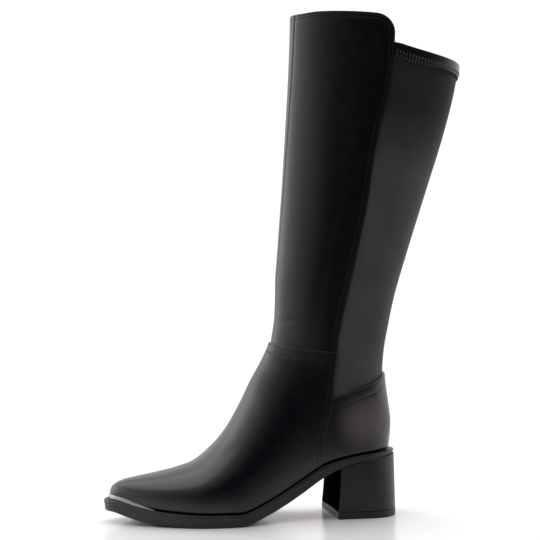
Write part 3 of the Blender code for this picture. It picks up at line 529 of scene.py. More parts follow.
leather_side = by_side(leather_field)
ahead_side = by_side(ahead)
behind_side = opposite(ahead_side)
under_vamp = by_side(under, vamp_line)
above_vamp = opposite(under_vamp)
under_counter = by_side(under, counter_line)
above_counter = opposite(under_counter)
under_hem = by_side(under, hem_line)
above_hem = opposite(under_hem)
print("collar's middle in mm", round(float(collar_line[len(collar_line) // 2, 1] / MM), 1))

# %% [markdown]
# A panel's edge with its lining is about 2 mm thick, and its corner is folded round. That little round is
# what catches the light at every seam, so it is modelled. A row of faces follows the panel's edge out and
# then down.

# %% Rolling an edge over
def rolled(skin, rows):
    """Adds rows of faces along the open edges. A row is how far out and how far down it lies."""
    points, normals, faces = skin
    ends = dict.fromkeys((n, face[(place + 1) % len(face)]) for face in faces for place, n in enumerate(face))
    border = [(a, b) for a, b in ends if (b, a) not in ends]
    out = {}
    for a, b in border:
        run = points[b] - points[a]
        length = np.linalg.norm(run)
        if length < 1e-9:
            continue
        across = np.cross(run / length, normals[a] + normals[b])
        across /= max(np.linalg.norm(across), 1e-12)
        for n in (a, b):
            out[n] = out.get(n, 0) + across
    place, extra, extra_normals = {}, [], []
    for n, direction in out.items():
        direction = direction / max(np.linalg.norm(direction), 1e-12)
        for level, (far, drop) in enumerate(rows):
            place[n, level] = len(points) + len(extra)
            extra.append(points[n] + direction * far - normals[n] * drop)
            extra_normals.append(normals[n])
    strips = []
    for a, b in border:
        if a not in out or b not in out:
            continue
        one, two = a, b
        for level in range(len(rows)):
            strips.append((two, one, place[a, level], place[b, level]))
            one, two = place[a, level], place[b, level]
    if extra:
        points = np.concatenate([points, extra])
        normals = np.concatenate([normals, extra_normals])
    return points, normals, list(faces) + strips


def edge_rows(thick, reach=0.55 * MM):
    """A quarter round and a drop, for an edge of that thickness."""
    turns = [math.radians(30), math.radians(60), math.radians(90)]
    rows = [(reach * math.sin(turn), reach * (1 - math.cos(turn))) for turn in turns]
    return rows + [(reach, max(thick, reach * 1.2))]


print("rows of an edge 2 mm thick", len(edge_rows(2.0 * MM)))

# %% [markdown]
# Every made piece goes into the scene in the same way: a mesh, its finish, the body it rides on and the
# slot of its material. One helper does that, so no piece can miss a step.

# %% Turning a skin into an object
HEEL_BACK, HEEL_BACK_LEAN = 0.0105, 1.0 * MM
HEEL_WIDTH, HEEL_LENGTH = 59.4 * MM, 57.0 * MM
top_low, top_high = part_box("top_piece")
shift = np.array([top_high.x - (along(HEEL_BACK) + HEEL_BACK_LEAN), (top_low.y + top_high.y) / 2, 0.0])


def piece_from(name, points, faces, finish):
    """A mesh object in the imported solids' place, riding on the boot."""
    mesh = bpy.data.meshes.new(name)
    mesh.from_pydata((np.asarray(points) + shift).tolist(), [], [list(face) for face in faces])
    mesh.validate()
    mesh.polygons.foreach_set("use_smooth", [True] * len(mesh.polygons))
    mesh.materials.append(finish)
    mesh.update()
    made_piece = bpy.data.objects.new(name, mesh)
    bpy.context.scene.collection.objects.link(made_piece)
    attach(made_piece, "root")
    return made_piece


print("part stands at x", round(shift[0] / MM, 2), "y", round(shift[1] / MM, 2))

# %% [markdown]
# A finish is a small network of nodes. Each node is a setting or two and some inputs, which are numbers or
# what another node gives. One helper makes any of them, so that a finish reads like a short list.

# %% Making a node
def connect(tree, socket, value):
    """Feeds a socket with a value or with what another node gives."""
    if isinstance(value, bpy.types.NodeSocket):
        tree.links.new(value, socket)
    else:
        socket.default_value = value


def wired(tree, kind, inputs, output, **settings):
    """A node of that kind with its settings and inputs. Gives one of its outputs."""
    node = tree.nodes.new("ShaderNode" + kind)
    for name, value in settings.items():
        setattr(node, name, value)
    for socket, value in inputs.items():
        connect(tree, node.inputs[socket], value)
    return node.outputs[output]


print("a node is made in one line")

# %% [markdown]
# A few more helpers say what is often wanted: noise of a size in millimetres, a change of range, a sum, a
# mix of two colours, and bumps. Noise is read in the boot's own millimetres, so the grain has the same size
# on every panel. A picture wrapped round the boot would stretch at toe and heel.

# %% Nodes for a finish
IN_MM = (1000, 1000, 1000)


def place_in(tree, scale=None):
    """Where a point lies on the boot, in metres, or stretched by a scale."""
    place = wired(tree, "TexCoord", {}, "Object")
    return place if scale is None else wired(tree, "Mapping", {"Vector": place, "Scale": scale}, "Vector")


def noise(tree, where, size_mm, detail=3.0):
    """Noise whose lumps are about that many millimetres wide."""
    return wired(tree, "TexNoise", {"Vector": where, "Scale": 1.0 / size_mm, "Detail": detail}, "Fac")


def ramp(tree, value, source, target=(0.0, 1.0), **settings):
    """Maps a value from one range to another."""
    inputs = {"Value": value, "From Min": source[0], "From Max": source[1],
              "To Min": target[0], "To Max": target[1]}
    return wired(tree, "MapRange", inputs, "Result", **settings)


def calculated(tree, operation, first, second):
    """The result of one calculation."""
    return wired(tree, "Math", {0: first, 1: second}, "Value", operation=operation)


def mixed(tree, share, first, second, **settings):
    """Two colours mixed by a share. A colour is three numbers or what another node gives."""
    first, second = [(*tone, 1.0) if isinstance(tone, tuple) else tone for tone in (first, second)]
    return wired(tree, "Mix", {"Factor": share, "A": first, "B": second}, "Result",
                 data_type="RGBA", **settings)


def bumped(tree, shader, heights):
    """Chains bumps, each a height and its depth in millimetres."""
    before = None
    for value, depth in heights:
        inputs = {"Height": value, "Distance": depth * MM, "Strength": 1.0}
        if before is not None:
            inputs["Normal"] = before
        before = wired(tree, "Bump", inputs, "Normal")
    connect(tree, shader.inputs["Normal"], before)


def new_finish(name, roughness, metallic=0.0, specular=0.5):
    """A material, its nodes, its shader and the place on the boot in millimetres."""
    finish = bpy.data.materials.new(name)
    finish.use_nodes = True
    tree = finish.node_tree
    shader = tree.nodes["Principled BSDF"]
    for socket, value in (("Roughness", roughness), ("Metallic", metallic), ("Specular IOR Level", specular)):
        shader.inputs[socket].default_value = value
    return finish, tree, shader, place_in(tree, IN_MM)


def tone_of(finish):
    """The nodes of a finish, the socket of its colour, and what feeds that now."""
    socket = finish.node_tree.nodes["Principled BSDF"].inputs["Base Color"]
    return finish.node_tree, socket, socket.links[0].from_socket


print("finishes are read in millimetres")

# %% [markdown]
# The leather is smooth and finished black. It is close to black in itself, and what shows is the room in
# its shine. So the colour is very dark with a trace of violet, faintly cloudy. Pores and a soft grain break
# the shine a little, and it is more polished in some places than in others.

# %% Leather
LEATHER_DARK, LEATHER_WARM = (0.0010, 0.0008, 0.0034), (0.0018, 0.0014, 0.0040)
PORES_PER_MM = 1.5


def leather_finish(name, rough_low, rough_high):
    """Smooth black leather with pores, faint cloudy tone and polished places."""
    finish, tree, shader, where = new_finish(name, rough_low)
    cloud = ramp(tree, noise(tree, where, 22.0, 2.0), (0.35, 0.70))
    connect(tree, shader.inputs["Base Color"], mixed(tree, cloud, LEATHER_DARK, LEATHER_WARM))
    polish = ramp(tree, noise(tree, where, 9.0), (0.3, 0.7), (rough_low, rough_high))
    connect(tree, shader.inputs["Roughness"], polish)
    pores = wired(tree, "TexVoronoi", {"Vector": where, "Scale": PORES_PER_MM}, "Distance")
    grain, waviness = noise(tree, where, 1.6, 4.0), noise(tree, where, 9.0, 2.0)
    bumped(tree, shader, [(pores, 0.020), (grain, 0.030), (waviness, 0.05)])
    return finish


leather = leather_finish("black_leather", 0.27, 0.33)
print("leather", leather.name)

# %% [markdown]
# On the counter a soft round patch of the leather's colour is warmer and paler. It is a painted highlight for
# the warm shine on the heel's curve. The leather there is also a little duller. It is the same leather with
# the patch, set by the distance from its middle in the side view. A lamp aimed at the counter draws a hard
# bright shape on the curve of the heel, so the highlight is painted instead.

# %% The counter's painted highlight
PAINTED_HIGHLIGHT_AT, PAINTED_HIGHLIGHT_INNER, PAINTED_HIGHLIGHT_OUTER = (0.0595, 0.0, 0.0860), 2 * MM, 34 * MM
SIDE_VIEW = (1.0, 0.0, 1.0)
counter_leather = leather_finish("counter_leather", 0.32, 0.38)
tree, tone, black_tone = tone_of(counter_leather)
distances = {0: place_in(tree, SIDE_VIEW), 1: PAINTED_HIGHLIGHT_AT}
from_middle = wired(tree, "VectorMath", distances, "Value", operation="DISTANCE")
patch = ramp(tree, from_middle, (PAINTED_HIGHLIGHT_INNER, PAINTED_HIGHLIGHT_OUTER), (1.0, 0.0), interpolation_type="SMOOTHSTEP")
# The warm grey mixed in here is the painted highlight.
connect(tree, tone, mixed(tree, patch, black_tone, (0.108, 0.094, 0.092)))
print("painted highlight", counter_leather.name, "reaches", PAINTED_HIGHLIGHT_OUTER / MM, "mm")

# %% [markdown]
# The back of the shaft is a stretch cloth with a leather-like face. It has a fine even knit, so its light
# is much softer. Two waves across each other give the knit, and a high roughness with a little sheen gives
# the soft look.

# %% Stretch cloth, lining and thread
WAVE_PER_MM = 0.314              # scale of a wave texture that repeats once in a millimetre


def cloth_finish(name, dark, pale, roughness, pitch_mm, sheen=0.0, specular=0.5):
    """A fine knit, by two crossed waves."""
    finish, tree, shader, where = new_finish(name, roughness, specular=specular)
    shader.inputs["Sheen Weight"].default_value = sheen
    shader.inputs["Sheen Roughness"].default_value = 0.5
    cloud = ramp(tree, noise(tree, where, 30.0, 2.0), (0.3, 0.7))
    connect(tree, shader.inputs["Base Color"], mixed(tree, cloud, dark, pale))
    knit = {"Vector": where, "Scale": WAVE_PER_MM / pitch_mm}
    waves = [(wired(tree, "TexWave", knit, "Fac", bands_direction=axis), 0.03) for axis in "XZ"]
    bumped(tree, shader, waves + [(noise(tree, where, 5.0), 0.08)])
    return finish


stretch_cloth = cloth_finish("stretch_cloth", (0.068, 0.068, 0.068), (0.086, 0.086, 0.086),
                             0.62, 0.8, 0.02, 0.14)
hem_tape = cloth_finish("hem_tape", (0.0014, 0.0014, 0.0016), (0.0030, 0.0030, 0.0032), 0.28, 0.8)
lining = cloth_finish("lining", (0.030, 0.028, 0.027), (0.045, 0.042, 0.040), 0.85, 1.1, 0.05)
thread = cloth_finish("thread", (0.0035, 0.0035, 0.0035), (0.0060, 0.0060, 0.0060), 0.52, 0.5, specular=0.3)
light_thread = cloth_finish("light_thread", (0.050, 0.050, 0.050), (0.080, 0.080, 0.080), 0.30, 0.5)
print("cloths", stretch_cloth.name, lining.name, thread.name)

# %% [markdown]
# Near the hem the cloth is darker and lower down it is paler. This is painted shade for the light that falls
# off towards the top of the shaft. A soft change with the height gives that. The two heights are typed for
# this boot, and a taller one would need its own.

# %% The stretch cloth's painted shade from hem to ankle
SHADE_FROM, SHADE_TO = 310 * MM, 370 * MM
tree, tone, cloth_tone = tone_of(stretch_cloth)
up = wired(tree, "SeparateXYZ", {"Vector": place_in(tree)}, "Z")
# Painted shade: the cloth's colour is multiplied darker towards the top.
painted_shade = mixed(tree, ramp(tree, up, (SHADE_FROM, SHADE_TO)), (1.0, 1.0, 1.0), (0.28, 0.28, 0.30))
connect(tree, tone, mixed(tree, 1.0, cloth_tone, painted_shade, blend_type="MULTIPLY"))
print("stretch cloth is darker above", SHADE_FROM / MM, "mm")

# %% [markdown]
# Sole and heel are moulded rubber with a satin face, and the toe plate is dark polished metal. The rubber
# takes its look from a middling roughness, and the metal from fine lines drawn along it.

# %% Rubber and metal
LENGTHWISE = (0.15, 1.0, 1.0)


def rubber_finish(name, dark, pale, rough_low, rough_high, specular=0.5):
    """Moulded rubber with a satin skin and faint flow marks."""
    finish, tree, shader, where = new_finish(name, rough_low, specular=specular)
    cloud = ramp(tree, noise(tree, where, 14.0, 4.0), (0.4, 0.75))
    connect(tree, shader.inputs["Base Color"], mixed(tree, cloud, dark, pale))
    dull = ramp(tree, noise(tree, where, 4.0, 5.0), (0.3, 0.7), (rough_low, rough_high))
    connect(tree, shader.inputs["Roughness"], dull)
    bumped(tree, shader, [(noise(tree, where, 0.7), 0.03), (noise(tree, where, 6.0), 0.08)])
    return finish


def metal_finish(name, colour, roughness):
    """Dark polished metal with fine lines along it."""
    finish, tree, shader, where = new_finish(name, roughness, metallic=1.0)
    lines = noise(tree, wired(tree, "Mapping", {"Vector": where, "Scale": LENGTHWISE}, "Vector"), 0.8)
    connect(tree, shader.inputs["Base Color"], mixed(tree, lines, colour, tuple(c * 1.35 for c in colour)))
    connect(tree, shader.inputs["Roughness"], ramp(tree, lines, (0.3, 0.7), (roughness, roughness + 0.10)))
    bumped(tree, shader, [(lines, 0.01)])
    return finish


rubber = rubber_finish("black_rubber", (0.0055, 0.0055, 0.006), (0.0085, 0.0085, 0.009), 0.42, 0.52)
wear_rubber = rubber_finish("wear_rubber", (0.0055, 0.0055, 0.006), (0.0095, 0.0095, 0.010), 0.50, 0.62)
metal = metal_finish("dark_metal", (0.20, 0.20, 0.21), 0.20)
# The heel's breast gets a dull near-black, which is painted shade.
breast_painted_shade = rubber_finish("breast_painted_shade", (0.0020, 0.0020, 0.0026), (0.0040, 0.0040, 0.0046),
                             0.75, 0.85, 0.0)
print("rubber and metal", rubber.name, wear_rubber.name, metal.name)

# %% [markdown]
# The sole of the photographed boot has a few pale nicks beside the ball. A fine noise makes the nicks, and
# a soft window along the foot keeps them at that one place. They are too small to need geometry.

# %% Scuffs beside the ball
SCUFF_FROM, SCUFF_TO, SCUFF_SOFT = -74 * MM, -50 * MM, 6 * MM
TALL_NICKS = (1000, 1000, 300)
tree, tone, clean_tone = tone_of(rubber)
nicks = ramp(tree, noise(tree, place_in(tree, TALL_NICKS), 1.3, 4.0), (0.56, 0.70))
along_sole = wired(tree, "SeparateXYZ", {"Vector": place_in(tree)}, "X")
begins = ramp(tree, along_sole, (SCUFF_FROM, SCUFF_FROM + SCUFF_SOFT))
stops = ramp(tree, along_sole, (SCUFF_TO - SCUFF_SOFT, SCUFF_TO), (1.0, 0.0))
scuffed = calculated(tree, "MULTIPLY", nicks, calculated(tree, "MULTIPLY", begins, stops))
connect(tree, tone, mixed(tree, scuffed, clean_tone, (0.045, 0.045, 0.047)))
print("scuffs along", round((SCUFF_TO - SCUFF_FROM) / MM), "mm of the sole")

# %% [markdown]
# Leather that is shaped over a last isn't perfectly even. A boot shaft has long soft hollows from top to
# bottom, and the ankle has short folds where it bends. Each is placed one by one, as a soft trough with a
# centre, a length and a width. A noise texture would put them anywhere.

# %% Soft hollows and folds
MIDDLE_FADE = 12 * MM            # hollows fade out this far from the boot's middle plane
# Each row: x, y, z, length and width in mm, tilt in degrees, and how far out in mm
SOFT_ROWS = (
    (-60, -38, 300, 130, 9, 88, -0.35),
    (-40, -39, 250, 110, 7, 84, 0.25),
    (-92, -30, 340, 120, 10, 90, -0.30),
    (-78, -36, 205, 55, 6, 80, -0.35),
    (-98, -24, 176, 14, 3, 8, -0.22),
    (-96, -25, 170, 14, 3, -4, 0.16),
    (-126, -24, 128, 26, 6, -50, -0.25),
    (-150, -30, 82, 22, 5, -38, -0.20),
    (-34, -28, 132, 22, 5, -24, 0.25),
    (-22, -26, 150, 26, 6, 30, -0.25),
    (42, -32, 84, 22, 24, 0, 1.2),
    (58, -38, 279, 11, 2.2, 80, -0.5),
)


def softness(points):
    """How far out each point moves, mirrored to the inner side."""
    total = np.zeros(len(points))
    for x, y, z, long, wide, tilt, depth in SOFT_ROWS:
        turn = math.radians(tilt)
        dx, dz = points[:, 0] - x * MM, points[:, 2] - z * MM
        along_it = (dx * math.cos(turn) + dz * math.sin(turn)) / (long * MM)
        across_it = (-dx * math.sin(turn) + dz * math.cos(turn)) / (wide * MM)
        near = np.clip(np.abs(points[:, 1]) / MIDDLE_FADE, 0, 1)
        total += depth * MM * np.exp(-along_it ** 2 - across_it ** 2) * near
    return total


print("hollows and folds", len(SOFT_ROWS))

# %% [markdown]
# Leather is drawn down by each row of stitches, and turned under at the sole. Small changes of a skin's
# height give both. They move real points, so the grooves hold from every side.

# %% Raising a skin to its height
STITCH_IN = 9.0 * MM
ROW_ONE, ROW_TWO = 1.9 * MM, 4.9 * MM
TUCK_DEPTH, TUCK_HIGH = 1.7 * MM, 1.5 * MM
FOOT_TOP = SEAT_HEIGHT + 12 * MM
BELOW_BED = -2 * MM


def raised(skin, height_of):
    """Moves a skin out to its height, with the soft hollows."""
    points, normals, faces = skin
    height_at = height_of(points) if callable(height_of) else np.full(len(points), height_of)
    return points + normals * (height_at + softness(points))[:, None], normals, faces


def groove(distance, at, depth):
    """A trough that keeps a distance from an edge."""
    return -depth * np.exp(-((distance - at) / GROOVE_WIDE) ** 2)


def tuck(points):
    """How far the skin turns in just above the sole, where the last's edge pulls it under."""
    above = points[:, 2] - bed_at(points[:, 0])
    in_foot = (points[:, 2] < FOOT_TOP) & (above > BELOW_BED)
    return np.where(in_foot, -TUCK_DEPTH * np.exp(-(np.maximum(above, 0) / TUCK_HIGH) ** 2), 0.0)


def finished_panel(name, skin, height_of, edge, finish):
    """Raises a skin, rolls its edges and adds it to the boot."""
    points, _, faces = rolled(raised(skin, height_of), edge)
    print(name, "faces", len(faces))
    return piece_from(name, points, faces, finish)


print("the wide row lies", STITCH_IN / MM, "mm from the edge")

# %% [markdown]
# The vamp covers the front of the foot. Its top edge is folded over the shaft, and its back edge laps over
# the counter with two rows of stitches, which pull two shallow grooves into it.

# %% The vamp
VAMP_TOP_GROOVE, VAMP_WIDE_GROOVE, VAMP_BACK_GROOVE = 0.10 * MM, 0.26 * MM, 0.08 * MM
VAMP_THICK = 2.0 * MM


def vamp_height(points):
    """Vamp skin with the grooves of its four stitch rows."""
    top, back = under_vamp(points), ahead_side(points)
    rise = VAMP_SKIN + groove(top, ROW_ONE, VAMP_TOP_GROOVE) + groove(top, STITCH_IN, VAMP_WIDE_GROOVE)
    rise = rise + groove(back, ROW_ONE, VAMP_BACK_GROOVE) + groove(back, ROW_TWO, VAMP_BACK_GROOVE)
    return rise + tuck(points)


vamp_base = panel((under_vamp, TRIM), (ahead_side, TRIM))
vamp_skin = scored(vamp_base, (under_vamp, ROW_ONE), (under_vamp, STITCH_IN), (ahead_side, ROW_ONE),
                   (ahead_side, ROW_TWO))
vamp = finished_panel("vamp", vamp_skin, vamp_height, edge_rows(VAMP_THICK), leather)
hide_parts("upper")

# %% [markdown]
# The counter is the stiff leather cup behind the heel. Its top edge climbs to the back, with one row close
# to the edge and one farther in. Its front edge runs on under the vamp, so no gap can open between them.

# %% The counter
COUNTER_TOP_GROOVE, COUNTER_WIDE_GROOVE = 0.14 * MM, 0.24 * MM
COUNTER_THICK = 2.2 * MM


def counter_height(points):
    """Counter skin with the two rows under its top edge."""
    top = under_counter(points)
    rise = (COUNTER_SKIN + groove(top, ROW_ONE, COUNTER_TOP_GROOVE)
            + groove(top, STITCH_IN, COUNTER_WIDE_GROOVE))
    return rise + tuck(points)


counter_base = panel((under_counter, TRIM), (behind_side, COUNTER_UNDER_VAMP))
counter_skin = scored(counter_base, (under_counter, ROW_ONE), (under_counter, STITCH_IN))
counter = finished_panel("counter", counter_skin, counter_height, edge_rows(COUNTER_THICK), counter_leather)
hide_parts("upper")

# %% [markdown]
# Two leather panels make the front of the shaft and meet at the front seam. Their edges are rolled, and the
# fine line between them is the seam that shows from the front. The lower ends run on under the vamp.

# %% The shaft's leather panels
SHAFT_GROOVE, SHAFT_THICK = 0.18 * MM, 2.1 * MM
FRONT_DIP, FRONT_WIDE = 0.5 * MM, 1.1 * MM
FRONT_LINES = (-2.2, -1.5, -1.0, 1.0, 1.5, 2.2)   # edges beside the front seam in mm, which bring its dip out


def shaft_height(points):
    """Shaft skin with two rows along collar and side seam, and drawn in at the front seam."""
    edge = leather_side(points)
    rise = SHAFT_SKIN + groove(edge, ROW_ONE, SHAFT_GROOVE) + groove(edge, ROW_TWO, SHAFT_GROOVE)
    return rise - FRONT_DIP * np.exp(-(seam_plane(points) / FRONT_WIDE) ** 2)


shaft_base = panel((leather_side, TRIM), (above_vamp, SHAFT_UNDER_VAMP))
scored_shaft = scored(shaft_base, (leather_side, ROW_ONE), (leather_side, ROW_TWO))
for distance in FRONT_LINES:
    scored_shaft = split_skin(scored_shaft, seam_plane(scored_shaft[0]) - distance * MM)[1]
for name, node, half in (("shaft_outer", "shaft_lateral", -1), ("shaft_inner", "shaft_medial", 1)):
    skin = only_used(split_skin(scored_shaft, half * seam_plane(scored_shaft[0]) - TRIM)[0])
    shaft = finished_panel(name, skin, shaft_height, edge_rows(SHAFT_THICK), leather)
    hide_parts(node)

# %% [markdown]
# An elastic cloth makes the back of the shaft, so that the boot can be pulled on over the calf. It is one
# skin that lies lower than the leather round it and runs on under the leather, the hem and the counter.

# %% The stretch back
CLOTH_THICK, CLOTH_ROUND = 1.6 * MM, 0.3 * MM
stretch_base = panel((under_hem, 2 * TRIM), (behind_side, STRETCH_UNDER_LEATHER),
                     (above_counter, STRETCH_UNDER_COUNTER))
stretch = finished_panel("stretch_back", stretch_base, STRETCH_SKIN, edge_rows(CLOTH_THICK, CLOTH_ROUND),
                         stretch_cloth)
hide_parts("stretch_panel")

# %% [markdown]
# The top of the stretch cloth is turned over and sewn down, which gives a band that stands a little proud.
# It is a skin of its own, with a soft bulge from edge to edge, and it dives under the leather at the side
# seam.

# %% The hem
HEM_TRIM, HEM_BULGE = 0.4 * MM, 0.25 * MM
HEM_DIVE, DIVE_LONG = -0.7 * MM, 7 * MM           # its height under the leather, and how soon it rises


def hem_height(points):
    """The turned band, which dives under the leather at the side seam."""
    back = np.clip(-ahead_side(points) / DIVE_LONG, 0, 1)
    smooth = back * back * (3 - 2 * back)
    bulge = np.sin(np.clip(under_hem(points) / HEM_HEIGHT, 0, 1) * math.pi) * HEM_BULGE
    return HEM_DIVE + (HEM_SKIN - HEM_DIVE) * smooth + bulge * smooth


hem_base = panel((under_hem, HEM_TRIM), (behind_side, HEM_UNDER_LEATHER), (above_hem, HEM_TRIM - HEM_HEIGHT))
hem = finished_panel("hem", hem_base, hem_height, edge_rows(CLOTH_THICK), hem_tape)
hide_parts("stretch_hem")

# %% [markdown]
# Inside, one lining runs from the collar down to the insole. It is the same skin again, a little smaller
# and turned inside out.

# %% The lining
LINING_TRIM = 0.8 * MM
THINS_FROM, THINS_OVER = 8 * MM, 6 * MM           # how far under the vamp's top it comes nearer to the last
SEAM_LAP = -3 * MM


def lining_height(points):
    """Deep in the leg, and nearer to the last in the foot."""
    low = np.where(ahead_side(points) > 0, under_vamp(points), under_counter(points))
    t = np.clip((low - THINS_FROM) / THINS_OVER, 0, 1)
    return LINING_SKIN + (FOOT_LINING - LINING_SKIN) * t


def under_top(points):
    """Positive below the collar in front and below the hem behind."""
    below_hem = under_hem(points)
    return np.where(ahead_side(points) > SEAM_LAP, np.maximum(leather_side(points), below_hem), below_hem)


lining_skin = raised(panel((under_top, LINING_TRIM)), lining_height)
inner = piece_from("lining", lining_skin[0], [face[::-1] for face in lining_skin[2]], lining)
print("lining faces", len(lining_skin[2]))

# %% [markdown]
# The sole is drawn in plan: the last's feather line, moved out by the ledge, and carried down in rings.
# More rings than the solid has make its edges round, and more stations make its outline smooth at the toe.

# %% Plan of the feather line
def feather_plan(every):
    """Feather line in plan, outer side then inner side, with outward normals and the ledge."""
    chosen = np.unique(np.append(np.arange(0, count, every), count - 1))
    outer, inner_side = last[chosen, 0, :2], last[chosen, -1, :2]
    ring = np.concatenate([outer, inner_side[-2:0:-1]])
    run = np.roll(ring, -1, axis=0) - np.roll(ring, 1, axis=0)
    run /= np.linalg.norm(run, axis=1)[:, None]
    out = np.stack([run[:, 1], -run[:, 0]], axis=1)
    if out[len(chosen) // 2, 1] > 0:
        out = -out
    ledge = made["ledge"][chosen]
    return ring, out, np.concatenate([ledge, ledge[-2:0:-1]]), len(chosen)


print("feather line points", count)

# %% [markdown]
# Sole, heel, toe plate and every stitch are stacks: rings of points with walls between them. The walls have
# to face outwards, so a stack that is built from the top down needs them turned the other way round.

# %% Walls of a stack
def walls(levels, size, downward=False):
    """Faces that join rings of points, each ring above the one before it, or below it."""
    faces = []
    for level in range(levels - 1):
        for n in range(size):
            m = (n + 1) % size
            wall = [level * size + place for place in (n, m, m + size, n + size)]
            faces.append(wall[:1] + wall[:0:-1] if downward else wall)
    return faces


def closed(levels, size, downward=False):
    """The same walls with a flat face on the first ring and on the last."""
    start, end = list(range(size)), list(range((levels - 1) * size, levels * size))
    return walls(levels, size, downward) + ([start, end[::-1]] if downward else [start[::-1], end])


print("a closed box has", len(closed(2, 4)), "faces")

# %% [markdown]
# The sole is one moulding: a flat bed, a square edge all round, and a tread. It is built as rings between
# bed and tread, so that its thickness follows both curves. A thickened flat sheet would lose the arch.

# %% The outsole
SOLE_RINGS = ((0.00, 2.6), (0.00, 0.9), (0.02, 0.45), (0.06, 0.12), (0.12, 0.0), (0.30, 0.0), (0.33, 0.06),
              (0.345, 0.45), (0.37, 0.55), (0.60, 0.65), (0.86, 0.85), (0.93, 1.05), (0.98, 1.45),
              (1.00, 1.95))
HEEL_INSET = 0.95                # the most that a ring is drawn in over the heel, in mm
BREAST_BLEND = 6 * MM
ring, out, ledge, plan_count = feather_plan(3)
total, rings = len(ring), []
breast_x = along(HEEL_BACK) - HEEL_LENGTH
over_heel = np.clip((ring[:, 0] - breast_x) / BREAST_BLEND + 1, 0, 1)
for drop, inset in SOLE_RINGS:                     # how far down from bed to tread, and how many mm in
    drawn_in = np.full(total, inset)
    if drop > 0 and inset > HEEL_INSET:
        drawn_in = inset + (HEEL_INSET - inset) * over_heel
    places = ring + out * (ledge - drawn_in * MM)[:, None]
    top = bed_at(places[:, 0]) - GAP
    rings.append(np.column_stack([places, top + (tread_at(places[:, 0]) - top) * drop]))
faces = walls(len(rings), total, downward=True)
for start, turned in ((0, True), ((len(rings) - 1) * total, False)):
    for n in range(plan_count - 1):
        rung = [start + n, start + n + 1, start + (total - n - 1) % total, start + (total - n) % total]
        rung = list(dict.fromkeys(rung))
        if len(rung) > 2:
            faces.append(rung[::-1] if turned else rung)
outsole = piece_from("sole", np.concatenate(rings), faces, rubber)
outsole.data.set_sharp_from_angle(angle=math.radians(40))
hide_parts("outsole")
print("outsole faces", len(faces))

# %% [markdown]
# The heel is one straight block under the seat, with a hollow breast and a slight flare. Seen from above,
# each of its levels is a D, whose bow is a squared circle. One function draws the D at any height, where a
# Bezier curve would have to be drawn anew for each.

# %% Heel outlines
HEEL_FLARE, HEEL_HOLLOW, HEEL_TAPER = 3.6 * MM, 1.2 * MM, 0.9 * MM
HEEL_SQUARE, FLARE_POWER, BREAST_ROUND = 2.15, 1.6, 0.6 * MM
BOW_POINTS, BREAST_POINTS = 61, 21
TOP_PIECE = 6.0 * MM


def heel_outline(up):
    """D-shaped plan outline of the heel, where up is 0 at the floor and 1 at the heel seat."""
    half = HEEL_WIDTH / 2 - HEEL_TAPER * (1 - up)
    back = along(HEEL_BACK) + HEEL_BACK_LEAN * (1 - up)
    breast = back - HEEL_LENGTH - HEEL_FLARE * (1 - up) ** FLARE_POWER
    middle = back - half
    turn = np.linspace(-math.pi / 2, math.pi / 2, BOW_POINTS)
    squareness = 2 / HEEL_SQUARE
    bow_x = middle + half * np.abs(np.cos(turn)) ** squareness
    bow_y = half * np.sign(np.sin(turn)) * np.abs(np.sin(turn)) ** squareness
    across = np.linspace(1, -1, BREAST_POINTS)
    front_x = breast + HEEL_HOLLOW * (1 - across ** 2)
    front_y = across * (half - BREAST_ROUND)
    return np.column_stack([np.concatenate([bow_x, front_x]), np.concatenate([bow_y, front_y])])


def shrunk(outline, by):
    """The outline drawn in by a distance, towards its middle."""
    middle = outline.mean(axis=0)
    away_from = outline - middle
    return middle + away_from * (1 - by / np.linalg.norm(away_from, axis=1))[:, None]


top_outline = heel_outline(1.0)
plain_ring, plain_out, plain_ledge, _ = feather_plan(1)
edge = plain_ring + plain_out * (plain_ledge - HEEL_INSET * MM)[:, None]
apart = [float(np.min(np.hypot(*(edge - place).T))) / MM for place in top_outline[:BOW_POINTS]]
print("heel outline, from the sole's edge in mm", round(min(apart), 2), "to", round(max(apart), 2))

# %% [markdown]
# The wear layer is a thin slice below the block, and a piece of its own, because a cobbler changes it. Both
# are stacks of outlines with a fine line where they meet. The front of the block gets a dull black, which is
# painted shade, since the breast shows no light at all.

# %% The heel block and the wear layer
HEEL_STEPS, INTO_SOLE = 24, 0.05 * MM
BLOCK_ROUND, WEAR_ROUND_LOW, WEAR_ROUND_HIGH = 0.35 * MM, 0.5 * MM, 0.4 * MM
FACES_FRONT = -0.75


def block(name, levels, finish, node):
    """A solid through outlines at rising heights, whose last level may slope."""
    size = len(levels[0][0])
    points = np.concatenate([np.column_stack([outline, np.broadcast_to(z, size)]) for outline, z in levels])
    made_block = piece_from(name, points, closed(len(levels), size), finish)
    made_block.data.set_sharp_from_angle(angle=math.radians(35))
    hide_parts(node)
    return made_block


heel_levels = []
low = TOP_PIECE + GAP
for share in np.linspace(0, 1, HEEL_STEPS):
    outline = heel_outline(share)
    seat = tread_at(np.clip(outline[:, 0], bed_x[0], bed_x[-1])) + INTO_SOLE
    z = low + share * (seat - low)
    if share == 0:
        heel_levels.append((shrunk(outline, BLOCK_ROUND), z))
        z = z + BLOCK_ROUND
    heel_levels.append((outline, z))
heel = block("heel_block", heel_levels, rubber, "heel")
# The faces of the breast take the painted shade.
heel.data.materials.append(breast_painted_shade)
for face in heel.data.polygons:
    if face.normal.x < FACES_FRONT:
        face.material_index = 1
flat = heel_outline(0.0)
wear_levels = [(shrunk(flat, WEAR_ROUND_LOW), 0.0), (flat, WEAR_ROUND_LOW),
               (flat, TOP_PIECE - WEAR_ROUND_HIGH), (shrunk(flat, WEAR_ROUND_HIGH), TOP_PIECE)]
block("wear_layer", wear_levels, wear_rubber, "top_piece")
print("heel levels", len(heel_levels))

# %% [markdown]
# A thin metal plate guards the toe. It is a leaf of metal that leans against the vamp just above the sole,
# tall beside the tip and run out to a point on both sides. It is drawn along the feather line, with its
# upper edge on the vamp's own skin, so that it follows the toe closely.

